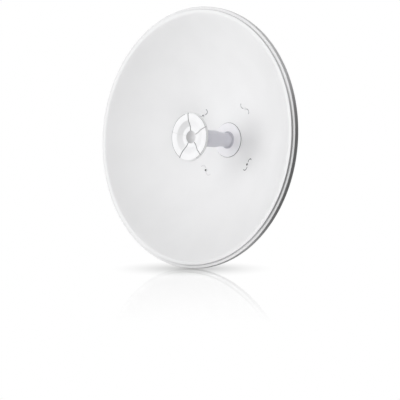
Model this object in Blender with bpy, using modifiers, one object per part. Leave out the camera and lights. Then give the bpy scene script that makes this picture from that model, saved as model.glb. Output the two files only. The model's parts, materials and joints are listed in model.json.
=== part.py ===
"""Point-to-point dish antenna on a mast mount, in metres, +Z up.

The bowl faces -Y. The origin is on the flat back face of the mast bracket's web.
Axial heights are measured forward (towards -Y) from the bowl's vertex.
"""

import math

import bmesh
import bpy
from mathutils import Matrix, Vector

MM = 0.001
GAP = 0.3 * MM

# Where the vertex of the bowl lies behind or before the mast bracket's face
VERTEX_Y = -86 * MM

# Reflector: heights follow from where the hem's edge, the lip and the crest lie
RIM_R = 325 * MM
FOUR_F = 713 * MM
SHEET = 1.5 * MM
HUB_R = 46 * MM
HUB_H = HUB_R**2 / FOUR_F
LIP_START_R = 306 * MM
HEM_END_H = 117.4 * MM
LIP_H = HEM_END_H + 16 * MM
STEP_H = HEM_END_H + 11 * MM
CREST_R = 317.5 * MM
BOWL_RINGS = 7
BOLT_BAND = 10 * MM
BOWL_STEPS = 48

# Bolts that hold the bowl, each between the two arms of an S-shaped slot
BOWL_BOLT_R = 99.4 * MM
BOWL_BOLT_TURNS = (45, 135, 225, 315)
BOWL_BOLT_SHANK_R = 2 * MM
BOWL_BOLT_HEAD_R = 4 * MM
BOWL_BOLT_LENGTH = 13 * MM
BOWL_NUT_R = 4.04 * MM
BOWL_NUT_THICK = 3.2 * MM
BOLT_SEAT_H = (BOWL_BOLT_R**2 + BOLT_BAND**2) / FOUR_F
SLOT_WIDTH = 2 * MM
SLOT_ARM = (
    (4.8 * MM, 3.2 * MM),
    (9.8 * MM, 5.2 * MM),
    (15 * MM, 4 * MM),
    (17.6 * MM, -0.2 * MM),
    (17.9 * MM, -2.8 * MM),
)

# Feed: the cap's heights are depths below its rim
TUBE_BASE_R = 17.8 * MM
TUBE_R = 20.8 * MM
TUBE_STEP_LOW = 33 * MM
TUBE_STEP_HIGH = 54 * MM
TUBE_TOP = 133 * MM
TUBE_REAR = -9 * MM
TUBE_WALL = 2.5 * MM
FLANGE_R = 43.3 * MM
FLANGE_THICK = 2 * MM
CAP_R = 60.3 * MM
CAP_RIM_H = HEM_END_H + 31.4 * MM
CAP_EDGE = 3.4 * MM
CAP_WALL = 2.2 * MM
DIMPLE_R = 15.5 * MM
CAP_FACE = (
    (DIMPLE_R + GAP, 6.9 * MM),
    (17 * MM, 5.9 * MM),
    (19 * MM, 6.1 * MM),
    (22 * MM, 8.3 * MM),
    (25 * MM, 9.8 * MM),
    (28 * MM, 9.6 * MM),
    (33 * MM, 6.9 * MM),
    (38 * MM, 4.0 * MM),
    (43 * MM, 1.9 * MM),
    (48 * MM, 0.7 * MM),
    (54 * MM, 0),
)
SHELL_FACE = (
    (TUBE_R + GAP, 34 * MM),
    (TUBE_R + GAP, 18 * MM),
    (28 * MM, 16.6 * MM),
    (37 * MM, 13.2 * MM),
    (47 * MM, 9.6 * MM),
    (55.5 * MM, 5.6 * MM),
    (58.8 * MM, 3.7 * MM),
)
SHELL_BACK = (
    (CAP_R, 3.7 * MM),
    (CAP_R, 4.9 * MM),
    (57 * MM, 7 * MM),
    (48 * MM, 11.5 * MM),
    (38 * MM, 15.2 * MM),
    (29 * MM, 18.8 * MM),
    (24.8 * MM, 25 * MM),
    (23.8 * MM, 34 * MM),
)
SEAM_COUNT = 5
SEAM_WIDTH = 1.6 * MM
SEAM_DEPTH = 1.3 * MM
SEAM_FIRST = 90
RING_R = 32 * MM
HOUSING_SIZE = 64 * MM
HOUSING_DEPTH = 46 * MM
CONNECTOR_X = 16 * MM
CONNECTOR_LENGTH = 18 * MM
CONNECTOR_R = 4.5 * MM

# Reflector bracket
PLATE = 3 * MM
EAR_OUT_X = 55.3 * MM
BRACKET_HALF_H = 62 * MM
EAR_BACK_Y = -20 * MM
RING_HOLE_R = 36 * MM
ARM_WIDTH = 28 * MM
ARM_START = 50 * MM
ARM_BEND = 74 * MM
PAD_IN = 14 * MM
PAD_OUT = 12 * MM

# Mast bracket and clamps
SIDE_OUT_X = EAR_OUT_X - PLATE - GAP
SIDE_FRONT_Y = -56 * MM
SIDE_HALF_H = 55 * MM
PIVOT_Y = -38 * MM
PIVOT_Z = -38 * MM
TILT_Z = 38 * MM
ARC_HALF_ANGLE = 12
M8_R = 4 * MM
MAST_R = 25 * MM
MAST_Y = 37 * MM
JAW_DEPTH = 30 * MM
JAW_HALF_W = 34 * MM
TOOTH = 2.5 * MM
CLAMP_BOLT_X = 40 * MM
CLAMP_Z = 32 * MM
CLAMP_HALF_H = 18 * MM
CLAMP_HALF_W = 50 * MM
CLAMP_WEB_Y = 76 * MM
CLAMP_BOLT_END = 98 * MM
M8_HEAD_R = 8.3 * MM
NUT_R = 7.5 * MM
NUT_THICK = 6.5 * MM

# Names of the finishes, with colour, roughness and metallic value
FINISHES = {
    "white_paint": ((0.82, 0.82, 0.83), 0.45, 0.0),
    "grey_plastic": ((0.62, 0.62, 0.68), 0.4, 0.0),
    "white_plastic": ((0.86, 0.86, 0.88), 0.35, 0.0),
    "galvanised": ((0.55, 0.56, 0.58), 0.42, 1.0),
    "cast_metal": ((0.5, 0.5, 0.52), 0.5, 1.0),
    "brass": ((0.72, 0.53, 0.25), 0.3, 1.0),
}


def clear_scene():
    """Remove every object of the scene."""
    for item in list(bpy.data.objects):
        bpy.data.objects.remove(item, do_unlink=True)


def make_collection(name):
    """Return a new collection linked to the scene."""
    group = bpy.data.collections.new(name)
    bpy.context.scene.collection.children.link(group)
    return group


def make_material(name, finish):
    """Return a Principled material of the named finish."""
    colour, roughness, metallic = FINISHES[finish]
    material = bpy.data.materials.new(name)
    material.use_nodes = True
    shader = material.node_tree.nodes["Principled BSDF"]
    shader.inputs["Base Color"].default_value = (*colour, 1)
    shader.inputs["Roughness"].default_value = roughness
    shader.inputs["Metallic"].default_value = metallic
    return material


clear_scene()
PARTS = make_collection("dish_antenna")
CUTTERS = make_collection("cutters")
DISH_AXIS = bpy.data.objects.new("dish_axis", None)
PARTS.objects.link(DISH_AXIS)
DISH_AXIS.location = (0, VERTEX_Y, 0)
DISH_AXIS.rotation_euler = (math.radians(90), 0, 0)
bpy.context.view_layer.update()


def add_part(name, mesh, finish):
    """Link a part with its own material."""
    part = bpy.data.objects.new(name, mesh)
    PARTS.objects.link(part)
    mesh.materials.clear()
    mesh.materials.append(make_material(name, finish))
    return part


def add_helper(name, mesh):
    """Link a cutter, which is never rendered."""
    helper = bpy.data.objects.new(name, mesh)
    CUTTERS.objects.link(helper)
    helper.hide_render = True
    helper.display_type = "WIRE"
    return helper


def smooth(mesh, angle=35):
    """Shade a mesh smooth, with edges over the angle left sharp."""
    mesh.shade_smooth()
    mesh.set_sharp_from_angle(angle=math.radians(angle))


def boolean(part, tool, operation="DIFFERENCE"):
    """Cut or join a part with a helper."""
    cut = part.modifiers.new(tool.name, "BOOLEAN")
    cut.operation = operation
    cut.object = tool
    cut.solver = "EXACT"


def on_dish(part):
    """Place a part in the dish's frame: x right, y up, z forward from the vertex."""
    part.parent = DISH_AXIS
    return part


def polyline_mesh(name, points, closed):
    """Return a mesh of edges in the XZ plane, from (radius, height) points."""
    count = len(points)
    edges = [(i, i + 1) for i in range(count - 1)]
    if closed:
        edges.append((count - 1, 0))
    mesh = bpy.data.meshes.new(name)
    mesh.from_pydata([(r, 0, h) for r, h in points], edges, [])
    return mesh


def add_screw(part, steps):
    """Turn a profile round its Z axis."""
    screw = part.modifiers.new("turn", "SCREW")
    screw.steps = steps
    screw.render_steps = steps
    screw.use_merge_vertices = True
    screw.merge_threshold = 0.00001
    screw.use_smooth_shade = True


def turned(name, points, finish, steps=32, closed=True):
    """Return a part turned from a profile whose outer side runs top to bottom."""
    part = add_part(name, polyline_mesh(name, points, closed), finish)
    add_screw(part, steps)
    return part


def turned_helper(name, points, steps=24, closed=False):
    """Return a turned cutter."""
    helper = add_helper(name, polyline_mesh(name, points, closed))
    add_screw(helper, steps)
    return helper


def offset_line(points, distance):
    """Return the polyline moved to its right-hand side by a distance."""
    moved = []
    for i, point in enumerate(points):
        here = Vector(point)
        into = here - Vector(points[i - 1]) if i else None
        onto = Vector(points[i + 1]) - here if i + 1 < len(points) else None
        into = (into or onto).normalized()
        onto = (onto or into).normalized()
        right_a = Vector((into.y, -into.x))
        right_b = Vector((onto.y, -onto.x))
        middle = (right_a + right_b).normalized()
        moved.append(tuple(here + middle * distance / middle.dot(right_a)))
    return moved


def sheet_loop(front, thickness):
    """Return a closed profile from its front line, which runs outwards."""
    return front + offset_line(front, thickness)[::-1]


def circle(radius, centre=(0, 0), count=24):
    """Return the points of a circle."""
    turn = 2 * math.pi / count
    return [
        (
            centre[0] + radius * math.cos(i * turn),
            centre[1] + radius * math.sin(i * turn),
        )
        for i in range(count)
    ]


def rounded(low, high, radius, count=4):
    """Return a rectangle with round corners."""
    centres = (
        (high[0] - radius, high[1] - radius, 0),
        (low[0] + radius, high[1] - radius, 90),
        (low[0] + radius, low[1] + radius, 180),
        (high[0] - radius, low[1] + radius, 270),
    )
    points = []
    for x, y, start in centres:
        for i in range(count + 1):
            turn = math.radians(start + 90 * i / count)
            points.append((x + radius * math.cos(turn), y + radius * math.sin(turn)))
    return points


def arc_slot(centre, radius, width, middle, half_angle, count=6):
    """Return a slot's outline along an arc, with round ends."""
    turns = [
        math.radians(middle - half_angle + 2 * half_angle * i / count)
        for i in range(count + 1)
    ]

    def at(turn, reach):
        return (centre[0] + reach * math.cos(turn), centre[1] + reach * math.sin(turn))

    def end_cap(turn, start):
        tip = at(turn, radius)
        steps = [start + math.pi * k / count for k in range(1, count)]
        return [
            (
                tip[0] + width / 2 * math.cos(turn + step),
                tip[1] + width / 2 * math.sin(turn + step),
            )
            for step in steps
        ]

    outer = [at(turn, radius + width / 2) for turn in turns]
    inner = [at(turn, radius - width / 2) for turn in reversed(turns)]
    return outer + end_cap(turns[-1], 0) + inner + end_cap(turns[0], math.pi)


def ribbon(line, width):
    """Return the closed outline of a band of a width along a line."""
    return offset_line(line, -width / 2) + offset_line(line, width / 2)[::-1]


def plate_mesh(name, loops, thickness):
    """Return a flat plate's mesh: the first loop is its outline, the rest are holes."""
    curve = bpy.data.curves.new(name, "CURVE")
    curve.dimensions = "2D"
    curve.fill_mode = "BOTH"
    curve.extrude = thickness / 2
    for loop in loops:
        spline = curve.splines.new("POLY")
        spline.points.add(len(loop) - 1)
        for point, (x, y) in zip(spline.points, loop):
            point.co = (x, y, 0, 1)
        spline.use_cyclic_u = True
    holder = bpy.data.objects.new(name, curve)
    CUTTERS.objects.link(holder)
    bpy.context.view_layer.update()
    evaluated = holder.evaluated_get(bpy.context.evaluated_depsgraph_get())
    mesh = bpy.data.meshes.new_from_object(evaluated)
    bpy.data.objects.remove(holder, do_unlink=True)
    work = bmesh.new()
    work.from_mesh(mesh)
    bmesh.ops.remove_doubles(work, verts=work.verts, dist=0.000001)
    bmesh.ops.recalc_face_normals(work, faces=work.faces)
    work.to_mesh(mesh)
    work.free()
    return mesh


def facing(direction, up):
    """Return a matrix whose Z runs along a direction and whose Y leans to up."""
    z_axis = Vector(direction).normalized()
    x_axis = Vector(up).cross(z_axis).normalized()
    y_axis = z_axis.cross(x_axis)
    return Matrix((x_axis, y_axis, z_axis)).transposed().to_4x4()


def upright_plate(loops, thickness, x_middle, name):
    """Return a helper plate in the YZ plane; loops hold (y, z) points."""
    helper = add_helper(name, plate_mesh(name, loops, thickness))
    helper.matrix_world = Matrix.Translation((x_middle, 0, 0)) @ Matrix(
        ((0, 0, 1, 0), (1, 0, 0, 0), (0, 1, 0, 0), (0, 0, 0, 1))
    )
    return helper


def level_plate(loops, thickness, z_middle, name):
    """Return a helper plate in the XY plane; loops hold (x, y) points."""
    helper = add_helper(name, plate_mesh(name, loops, thickness))
    helper.location = (0, 0, z_middle)
    return helper


def wall_plate(name, loops, thickness, y_middle, finish):
    """Return a part plate in the XZ plane; loops hold (x, z) points."""
    part = add_part(name, plate_mesh(name, loops, thickness), finish)
    part.rotation_euler = (math.radians(90), 0, 0)
    part.location = (0, y_middle, 0)
    return part


def bowl_height(radius):
    """Height of the bowl's front surface over its vertex."""
    return radius * radius / FOUR_F


def bowl_slope(radius):
    """Angle of the bowl's surface to the plane of its rim."""
    return math.atan(2 * radius / FOUR_F)


def radial_plane(turn_degrees):
    """Dish-frame matrix that stands an (outward, forward) outline in a radial plane."""
    turn = Matrix.Rotation(math.radians(turn_degrees), 4, "Z")
    return turn @ Matrix.Rotation(math.radians(90), 4, "X")


def bolt_frame(turn_degrees):
    """Dish-frame matrix on the bowl's front surface at a bolt, Z out along the normal."""
    turn = math.radians(turn_degrees)
    slope = bowl_slope(BOWL_BOLT_R)
    out = Vector((math.cos(turn), math.sin(turn), 0))
    normal = -math.sin(slope) * out + Vector((0, 0, math.cos(slope)))
    place = BOWL_BOLT_R * out + Vector((0, 0, BOLT_SEAT_H))
    return Matrix.Translation(place) @ facing(normal, out)


def dome_bolt(head_r, shank_r, length, head_h):
    """Profile of a round-headed bolt: its head stands on height 0."""
    rise = [
        (head_r * math.sin(k * math.pi / 6), head_h * math.cos(k * math.pi / 6))
        for k in range(3)
    ]
    return rise + [
        (head_r, 0),
        (shank_r, 0),
        (shank_r, 1 * MM - length),
        (shank_r - 1 * MM, -length),
        (0, -length),
    ]


def hex_nut(name, width_r, bore_r, thickness, finish):
    """Return a nut centred on its own origin, along Z."""
    loops = [circle(width_r, count=6), circle(bore_r, count=16)]
    return add_part(name, plate_mesh(name, loops, thickness), finish)


def build_reflector():
    """Bowl with a flat hub, a stepped rim, a hem, bolt holes and slots."""
    front = [(TUBE_BASE_R + 0.6 * MM, HUB_H)]
    band_end = BOWL_BOLT_R + BOLT_BAND
    radii = [HUB_R, 67 * MM, BOWL_BOLT_R - BOLT_BAND]
    for i in range(BOWL_RINGS + 1):
        radii.append(band_end + (LIP_START_R - band_end) * i / BOWL_RINGS)
    front += [(radius, bowl_height(radius)) for radius in radii]
    front += [
        (309 * MM, LIP_H - 0.5 * MM),
        (312 * MM, LIP_H),
        (315.7 * MM, LIP_H),
        (CREST_R, LIP_H - 1.6 * MM),
        (CREST_R, STEP_H),
        (323.8 * MM, STEP_H),
        (RIM_R, STEP_H - 1.2 * MM),
        (RIM_R, HEM_END_H),
    ]
    reflector = turned(
        "reflector", sheet_loop(front, SHEET), "white_paint", BOWL_STEPS
    )
    on_dish(reflector)
    for turn in BOWL_BOLT_TURNS:
        hole = turned_helper(
            f"bowl_hole_{turn}",
            [
                (0, 6 * MM),
                (BOWL_BOLT_SHANK_R + GAP, 6 * MM),
                (BOWL_BOLT_SHANK_R + GAP, -6 * MM),
                (0, -6 * MM),
            ],
            16,
        )
        hole.parent = DISH_AXIS
        hole.matrix_local = bolt_frame(turn)
        boolean(reflector, hole)
        hand = math.copysign(1, math.cos(math.radians(turn)))
        arms = [
            ribbon([(side * x, side * hand * y) for x, y in SLOT_ARM], SLOT_WIDTH)
            for side in (1, -1)
        ]
        slot = add_helper(f"bowl_slot_{turn}", plate_mesh("slot", arms, 12 * MM))
        slot.parent = DISH_AXIS
        slot.matrix_local = bolt_frame(turn)
        boolean(reflector, slot)


def build_feed():
    """Flange, tube, cap, shell, plug, ring, housing and connectors."""
    flange_low = HUB_H + GAP
    flange_top = flange_low + FLANGE_THICK
    on_dish(
        turned(
            "feed_flange",
            [
                (TUBE_BASE_R + GAP, flange_top + 1.2 * MM),
                (TUBE_BASE_R + 3 * MM, flange_top + 1.2 * MM),
                (TUBE_BASE_R + 4.2 * MM, flange_top),
                (FLANGE_R - 1.2 * MM, flange_top),
                (FLANGE_R, flange_top - 0.9 * MM),
                (FLANGE_R, flange_low),
                (TUBE_BASE_R + GAP, flange_low),
            ],
            "white_plastic",
            40,
        )
    )
    on_dish(
        turned(
            "feed_tube",
            [
                (TUBE_R - TUBE_WALL, TUBE_TOP),
                (TUBE_R, TUBE_TOP),
                (TUBE_R, TUBE_STEP_HIGH),
                (TUBE_BASE_R, TUBE_STEP_LOW),
                (TUBE_BASE_R, TUBE_REAR),
                (TUBE_BASE_R - TUBE_WALL, TUBE_REAR),
                (TUBE_BASE_R - TUBE_WALL, TUBE_STEP_LOW),
                (TUBE_R - TUBE_WALL, TUBE_STEP_HIGH),
            ],
            "grey_plastic",
            32,
        )
    )
    shell = [(radius, CAP_RIM_H - depth) for radius, depth in SHELL_FACE + SHELL_BACK]
    on_dish(turned("feed_cap_shell", shell, "white_plastic", 32))
    face = [(radius, CAP_RIM_H - depth) for radius, depth in CAP_FACE]
    edge = [
        (CAP_R - 1.6 * MM, CAP_RIM_H),
        (CAP_R, CAP_RIM_H - 1.2 * MM),
        (CAP_R, CAP_RIM_H - CAP_EDGE),
        (CAP_R - 4.5 * MM, CAP_RIM_H - CAP_EDGE),
    ]
    back = offset_line(face, CAP_WALL)[-2::-1]
    cap = on_dish(turned("feed_cap", face + edge + back, "white_plastic", 40))
    floor = offset_line(face + edge[:2], SEAM_DEPTH)
    lid = [(radius, height + 3 * MM) for radius, height in floor[::-1]]
    for i in range(SEAM_COUNT):
        turn = SEAM_FIRST + 360 * i / SEAM_COUNT
        seam = add_helper(f"seam_{i}", plate_mesh("seam", [floor + lid], SEAM_WIDTH))
        seam.parent = DISH_AXIS
        seam.matrix_local = radial_plane(turn)
        boolean(cap, seam)
    dimple_top = CAP_RIM_H - CAP_FACE[0][1]
    on_dish(
        turned(
            "feed_cap_plug",
            [
                (0, dimple_top - 6.2 * MM),
                (6 * MM, dimple_top - 5.6 * MM),
                (10.5 * MM, dimple_top - 3.8 * MM),
                (13.6 * MM, dimple_top - 0.8 * MM),
                (14.2 * MM, dimple_top),
                (DIMPLE_R, dimple_top),
                (DIMPLE_R, dimple_top - 5 * MM),
                (12 * MM, dimple_top - 8.2 * MM),
                (0, dimple_top - 8.2 * MM),
            ],
            "grey_plastic",
            24,
            closed=False,
        )
    )
    ring_top = HUB_H - SHEET - GAP
    ring_low = TUBE_REAR
    on_dish(
        turned(
            "feed_lock_ring",
            [
                (TUBE_BASE_R + GAP, ring_top),
                (RING_R, ring_top),
                (RING_R, ring_low + 3 * MM),
                (RING_R - 3 * MM, ring_low),
                (TUBE_BASE_R + GAP, ring_low),
            ],
            "cast_metal",
            32,
        )
    )
    housing_mesh = bpy.data.meshes.new("feed_housing")
    work = bmesh.new()
    bmesh.ops.create_cube(work, size=1)
    bmesh.ops.scale(
        work, vec=(HOUSING_SIZE, HOUSING_SIZE, HOUSING_DEPTH), verts=work.verts
    )
    work.to_mesh(housing_mesh)
    work.free()
    housing = on_dish(add_part("feed_housing", housing_mesh, "cast_metal"))
    housing.location = (0, 0, TUBE_REAR - GAP - HOUSING_DEPTH / 2)
    edges = housing.modifiers.new("round", "BEVEL")
    edges.width = 4 * MM
    edges.segments = 3
    for side, name in ((-1, "left"), (1, "right")):
        connector = turned(
            f"coax_connector_{name}",
            [
                (0, 0),
                (CONNECTOR_R + 2.5 * MM, 0),
                (CONNECTOR_R + 2.5 * MM, -3 * MM),
                (CONNECTOR_R, -3 * MM),
                (CONNECTOR_R, -CONNECTOR_LENGTH),
                (CONNECTOR_R - 1 * MM, -CONNECTOR_LENGTH),
                (CONNECTOR_R - 1 * MM, -7 * MM),
                (0, -7 * MM),
            ],
            "brass",
            16,
            closed=False,
        )
        connector.location = (
            side * CONNECTOR_X,
            VERTEX_Y - TUBE_REAR + GAP + HOUSING_DEPTH / 2,
            -HOUSING_SIZE / 2 - GAP,
        )


def build_bowl_bolts():
    """Round-headed bolts through the bowl and the bracket's pads, and their nuts."""
    for index, turn in enumerate(BOWL_BOLT_TURNS, 1):
        frame = bolt_frame(turn)
        bolt = on_dish(
            turned(
                f"bowl_bolt_{index}",
                dome_bolt(
                    BOWL_BOLT_HEAD_R, BOWL_BOLT_SHANK_R, BOWL_BOLT_LENGTH, 2.2 * MM
                ),
                "galvanised",
                16,
                closed=False,
            )
        )
        bolt.matrix_local = frame @ Matrix.Translation((0, 0, GAP))
        nut = on_dish(
            hex_nut(
                f"bowl_nut_{index}",
                BOWL_NUT_R,
                BOWL_BOLT_SHANK_R + GAP,
                BOWL_NUT_THICK,
                "galvanised",
            )
        )
        depth = SHEET + GAP + PLATE + GAP + BOWL_NUT_THICK / 2
        nut.matrix_local = frame @ Matrix.Translation((0, 0, -depth))


def arm_profile():
    """Closed outline of a bracket arm in its (outward, forward) plane."""
    slope = bowl_slope(BOWL_BOLT_R)
    along = Vector((math.cos(slope), math.sin(slope)))
    normal = Vector((-math.sin(slope), math.cos(slope)))
    seat = Vector((BOWL_BOLT_R, BOLT_SEAT_H)) - normal * (SHEET + GAP)
    arm_front = HUB_H - SHEET - GAP - 0.3 * MM
    front = [
        (ARM_START, arm_front),
        (ARM_BEND, arm_front),
        tuple(seat - along * PAD_IN),
        tuple(seat + along * PAD_OUT),
    ]
    return sheet_loop(front, PLATE)


def build_reflector_bracket():
    """Plate behind the hub, four arms out to the bolts, and two ears."""
    plate_front = HUB_H - SHEET - GAP
    front_y = VERTEX_Y - plate_front
    outline = rounded(
        (-EAR_OUT_X, -BRACKET_HALF_H), (EAR_OUT_X, BRACKET_HALF_H), 5 * MM
    )
    bracket = wall_plate(
        "reflector_bracket",
        [outline, circle(RING_HOLE_R, count=32)],
        PLATE,
        front_y + PLATE / 2,
        "galvanised",
    )
    for turn in BOWL_BOLT_TURNS:
        arm = add_helper(f"arm_{turn}", plate_mesh("arm", [arm_profile()], ARM_WIDTH))
        arm.parent = DISH_AXIS
        arm.matrix_local = radial_plane(turn)
        boolean(bracket, arm, "UNION")
    lock_reach = TILT_Z - PIVOT_Z
    for side, name in ((-1, "left"), (1, "right")):
        ear = upright_plate(
            [
                rounded(
                    (front_y + 0.4 * MM, -BRACKET_HALF_H + 4 * MM),
                    (EAR_BACK_Y, BRACKET_HALF_H - 4 * MM),
                    0.3 * MM,
                    1,
                ),
                circle(M8_R + GAP, (PIVOT_Y, PIVOT_Z), 16),
                arc_slot(
                    (PIVOT_Y, PIVOT_Z),
                    lock_reach,
                    2 * (M8_R + GAP),
                    90,
                    ARC_HALF_ANGLE,
                ),
            ],
            PLATE,
            side * (EAR_OUT_X - PLATE / 2),
            f"ear_{name}",
        )
        boolean(bracket, ear, "UNION")
    for turn in BOWL_BOLT_TURNS:
        hole = turned_helper(
            f"pad_hole_{turn}",
            [
                (0, 4 * MM),
                (BOWL_BOLT_SHANK_R + GAP, 4 * MM),
                (BOWL_BOLT_SHANK_R + GAP, -9 * MM),
                (0, -9 * MM),
            ],
            16,
        )
        hole.parent = DISH_AXIS
        hole.matrix_local = bolt_frame(turn)
        boolean(bracket, hole)


def toothed_jaw(base_y, tip_y, half_width):
    """Outline of a jaw whose notch grips the mast, from its web towards its tip."""
    toward = 1 if tip_y > base_y else -1
    apex_y = MAST_Y - toward * MAST_R * math.sqrt(2)
    floor_y = apex_y + toward * 4 * MM
    depth = abs(tip_y - floor_y)
    teeth = int(depth / TOOTH)
    side = []
    for i in range(teeth + 1):
        back = i * depth / teeth
        half = 4 * MM + back
        side.append((half, floor_y + toward * back))
        if i < teeth:
            crest_half = half + 0.5 * TOOTH + 1.3 * MM
            side.append((crest_half, floor_y + toward * (back + 0.6 * MM)))
    left = [(-x, y) for x, y in side]
    corners = [
        (-half_width, tip_y),
        (-half_width, base_y),
        (half_width, base_y),
        (half_width, tip_y),
    ]
    return left + corners + side[::-1]


def build_mast_bracket():
    """Web with the mount face, two side plates and two toothed front jaws."""
    holes = [
        circle(M8_R + GAP, (x, z), 16)
        for x in (-CLAMP_BOLT_X, CLAMP_BOLT_X)
        for z in (-CLAMP_Z, CLAMP_Z)
    ]
    outline = rounded(
        (-SIDE_OUT_X, -BRACKET_HALF_H), (SIDE_OUT_X, BRACKET_HALF_H), 3 * MM
    )
    bracket = wall_plate(
        "mast_bracket", [outline, *holes], PLATE, -PLATE / 2, "galvanised"
    )
    for side, name in ((-1, "left"), (1, "right")):
        plate = upright_plate(
            [
                rounded(
                    (SIDE_FRONT_Y, -SIDE_HALF_H), (-0.4 * MM, SIDE_HALF_H), 0.3 * MM, 1
                ),
                circle(M8_R + GAP, (PIVOT_Y, PIVOT_Z), 16),
                circle(M8_R + GAP, (PIVOT_Y, TILT_Z), 16),
            ],
            PLATE,
            side * (SIDE_OUT_X - PLATE / 2),
            f"side_{name}",
        )
        boolean(bracket, plate, "UNION")
    for end, name in ((-1, "lower"), (1, "upper")):
        jaw = level_plate(
            [toothed_jaw(-0.4 * MM, JAW_DEPTH, JAW_HALF_W)],
            PLATE,
            end * (BRACKET_HALF_H - PLATE / 2 - 0.4 * MM),
            f"front_jaw_{name}",
        )
        boolean(bracket, jaw, "UNION")


def build_clamps():
    """Two toothed clamps behind the mast, with their bolts and nuts."""
    tip_y = 2 * MAST_Y - JAW_DEPTH + 2 * MM
    for end, name in ((-1, "lower"), (1, "upper")):
        middle = end * CLAMP_Z
        outline = rounded(
            (-CLAMP_HALF_W, middle - CLAMP_HALF_H),
            (CLAMP_HALF_W, middle + CLAMP_HALF_H),
            4 * MM,
        )
        holes = [
            circle(M8_R + GAP, (x, middle), 16) for x in (-CLAMP_BOLT_X, CLAMP_BOLT_X)
        ]
        clamp = wall_plate(
            f"mast_clamp_{name}",
            [outline, *holes],
            PLATE,
            CLAMP_WEB_Y + PLATE / 2,
            "galvanised",
        )
        for edge, edge_name in ((-1, "low"), (1, "high")):
            jaw = level_plate(
                [toothed_jaw(CLAMP_WEB_Y + 0.4 * MM, tip_y, JAW_HALF_W)],
                PLATE,
                middle + edge * (CLAMP_HALF_H - PLATE / 2 - 0.4 * MM),
                f"rear_jaw_{name}_{edge_name}",
            )
            boolean(clamp, jaw, "UNION")
        for side, side_name in ((-1, "left"), (1, "right")):
            place = (side * CLAMP_BOLT_X, -PLATE - GAP, middle)
            bolt = turned(
                f"clamp_bolt_{name}_{side_name}",
                dome_bolt(M8_HEAD_R, M8_R, CLAMP_BOLT_END + PLATE + GAP, 4 * MM),
                "galvanised",
                16,
                closed=False,
            )
            bolt.rotation_euler = (math.radians(90), 0, 0)
            bolt.location = place
            nut = hex_nut(
                f"clamp_nut_{name}_{side_name}",
                NUT_R,
                M8_R + GAP,
                NUT_THICK,
                "galvanised",
            )
            nut.rotation_euler = (math.radians(90), 0, 0)
            nut.location = (
                side * CLAMP_BOLT_X,
                CLAMP_WEB_Y + PLATE + GAP + NUT_THICK / 2,
                middle,
            )


def build_side_bolts():
    """Pivot and tilt bolts through each ear and side plate, with nuts inside."""
    grip = 2 * PLATE + GAP
    for side, side_name in ((-1, "left"), (1, "right")):
        for height, use in ((PIVOT_Z, "pivot"), (TILT_Z, "tilt")):
            bolt = turned(
                f"{use}_bolt_{side_name}",
                dome_bolt(M8_HEAD_R, M8_R, grip + NUT_THICK + 5 * MM, 4 * MM),
                "galvanised",
                16,
                closed=False,
            )
            bolt.rotation_euler = (0, side * math.radians(90), 0)
            bolt.location = (side * (EAR_OUT_X + GAP), PIVOT_Y, height)
            nut = hex_nut(
                f"{use}_nut_{side_name}", NUT_R, M8_R + GAP, NUT_THICK, "galvanised"
            )
            nut.rotation_euler = (0, math.radians(90), 0)
            nut.location = (
                side * (SIDE_OUT_X - PLATE - GAP - NUT_THICK / 2),
                PIVOT_Y,
                height,
            )


build_reflector()
build_feed()
build_bowl_bolts()
build_reflector_bracket()
build_mast_bracket()
build_clamps()
build_side_bolts()
for part in PARTS.objects:
    if part.type == "MESH":
        smooth(part.data)
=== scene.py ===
"""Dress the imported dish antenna: fine meshes, finishes, hardware detail, studio and camera.

Sizes are in millimetres and become metres when a mesh is made. The bowl faces -Y.
A dish-frame point is (right, up, forward), counted from the bowl's vertex.
"""

import json
import logging
import math
from collections.abc import Callable, Mapping, Sequence
from dataclasses import dataclass, field, replace
from enum import Enum
from typing import Any, ClassVar

import bmesh
import bpy
import numpy as np
from mathutils import Matrix, Vector

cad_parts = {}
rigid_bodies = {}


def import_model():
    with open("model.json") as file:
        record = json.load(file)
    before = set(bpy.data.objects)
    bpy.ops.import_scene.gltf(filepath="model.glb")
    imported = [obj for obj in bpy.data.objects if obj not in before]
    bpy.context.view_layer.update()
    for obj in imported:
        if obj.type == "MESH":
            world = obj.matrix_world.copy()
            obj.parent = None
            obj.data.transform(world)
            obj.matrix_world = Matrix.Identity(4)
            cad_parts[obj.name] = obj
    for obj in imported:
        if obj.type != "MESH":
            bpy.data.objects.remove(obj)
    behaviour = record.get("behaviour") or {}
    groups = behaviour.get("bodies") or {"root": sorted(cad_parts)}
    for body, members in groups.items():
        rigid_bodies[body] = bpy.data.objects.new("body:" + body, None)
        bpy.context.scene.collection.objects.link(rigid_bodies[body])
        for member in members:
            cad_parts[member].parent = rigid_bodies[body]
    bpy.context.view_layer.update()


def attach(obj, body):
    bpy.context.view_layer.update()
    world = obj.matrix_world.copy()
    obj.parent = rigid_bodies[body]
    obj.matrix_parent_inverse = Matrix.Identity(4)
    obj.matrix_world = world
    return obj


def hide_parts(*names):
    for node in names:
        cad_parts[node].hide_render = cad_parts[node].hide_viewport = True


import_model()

log = logging.getLogger("dish_antenna")

Point = tuple[float, float]
Point3 = tuple[float, float, float]
Loop = list[Point]

MM = 0.001
ROOT = "root"
ON_AXIS = 1e-6
GAP = 0.3  # between neighbouring parts
PAST = 2  # how far a cutter runs past what it cuts
CREASE = 32  # edges over this many degrees stay sharp
BOWL_CUT = 6  # half the length of the cutters that go through the bowl's sheet
CREST_R = 317.5  # radius of the rim's raised crest
RIM_R = 325


class Half(Enum):
    """One of two mirrored halves, with the sign of its axis."""

    @property
    def word(self) -> str:
        """The half's name, as the pieces' names have it."""
        return self.name.lower()


class Side(Half):
    """Left and right of the antenna, with the sign of X."""

    LEFT = -1
    RIGHT = 1


class Level(Half):
    """Lower and upper hardware, with the sign of Z."""

    LOWER = -1
    UPPER = 1


# ---- plane geometry


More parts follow.
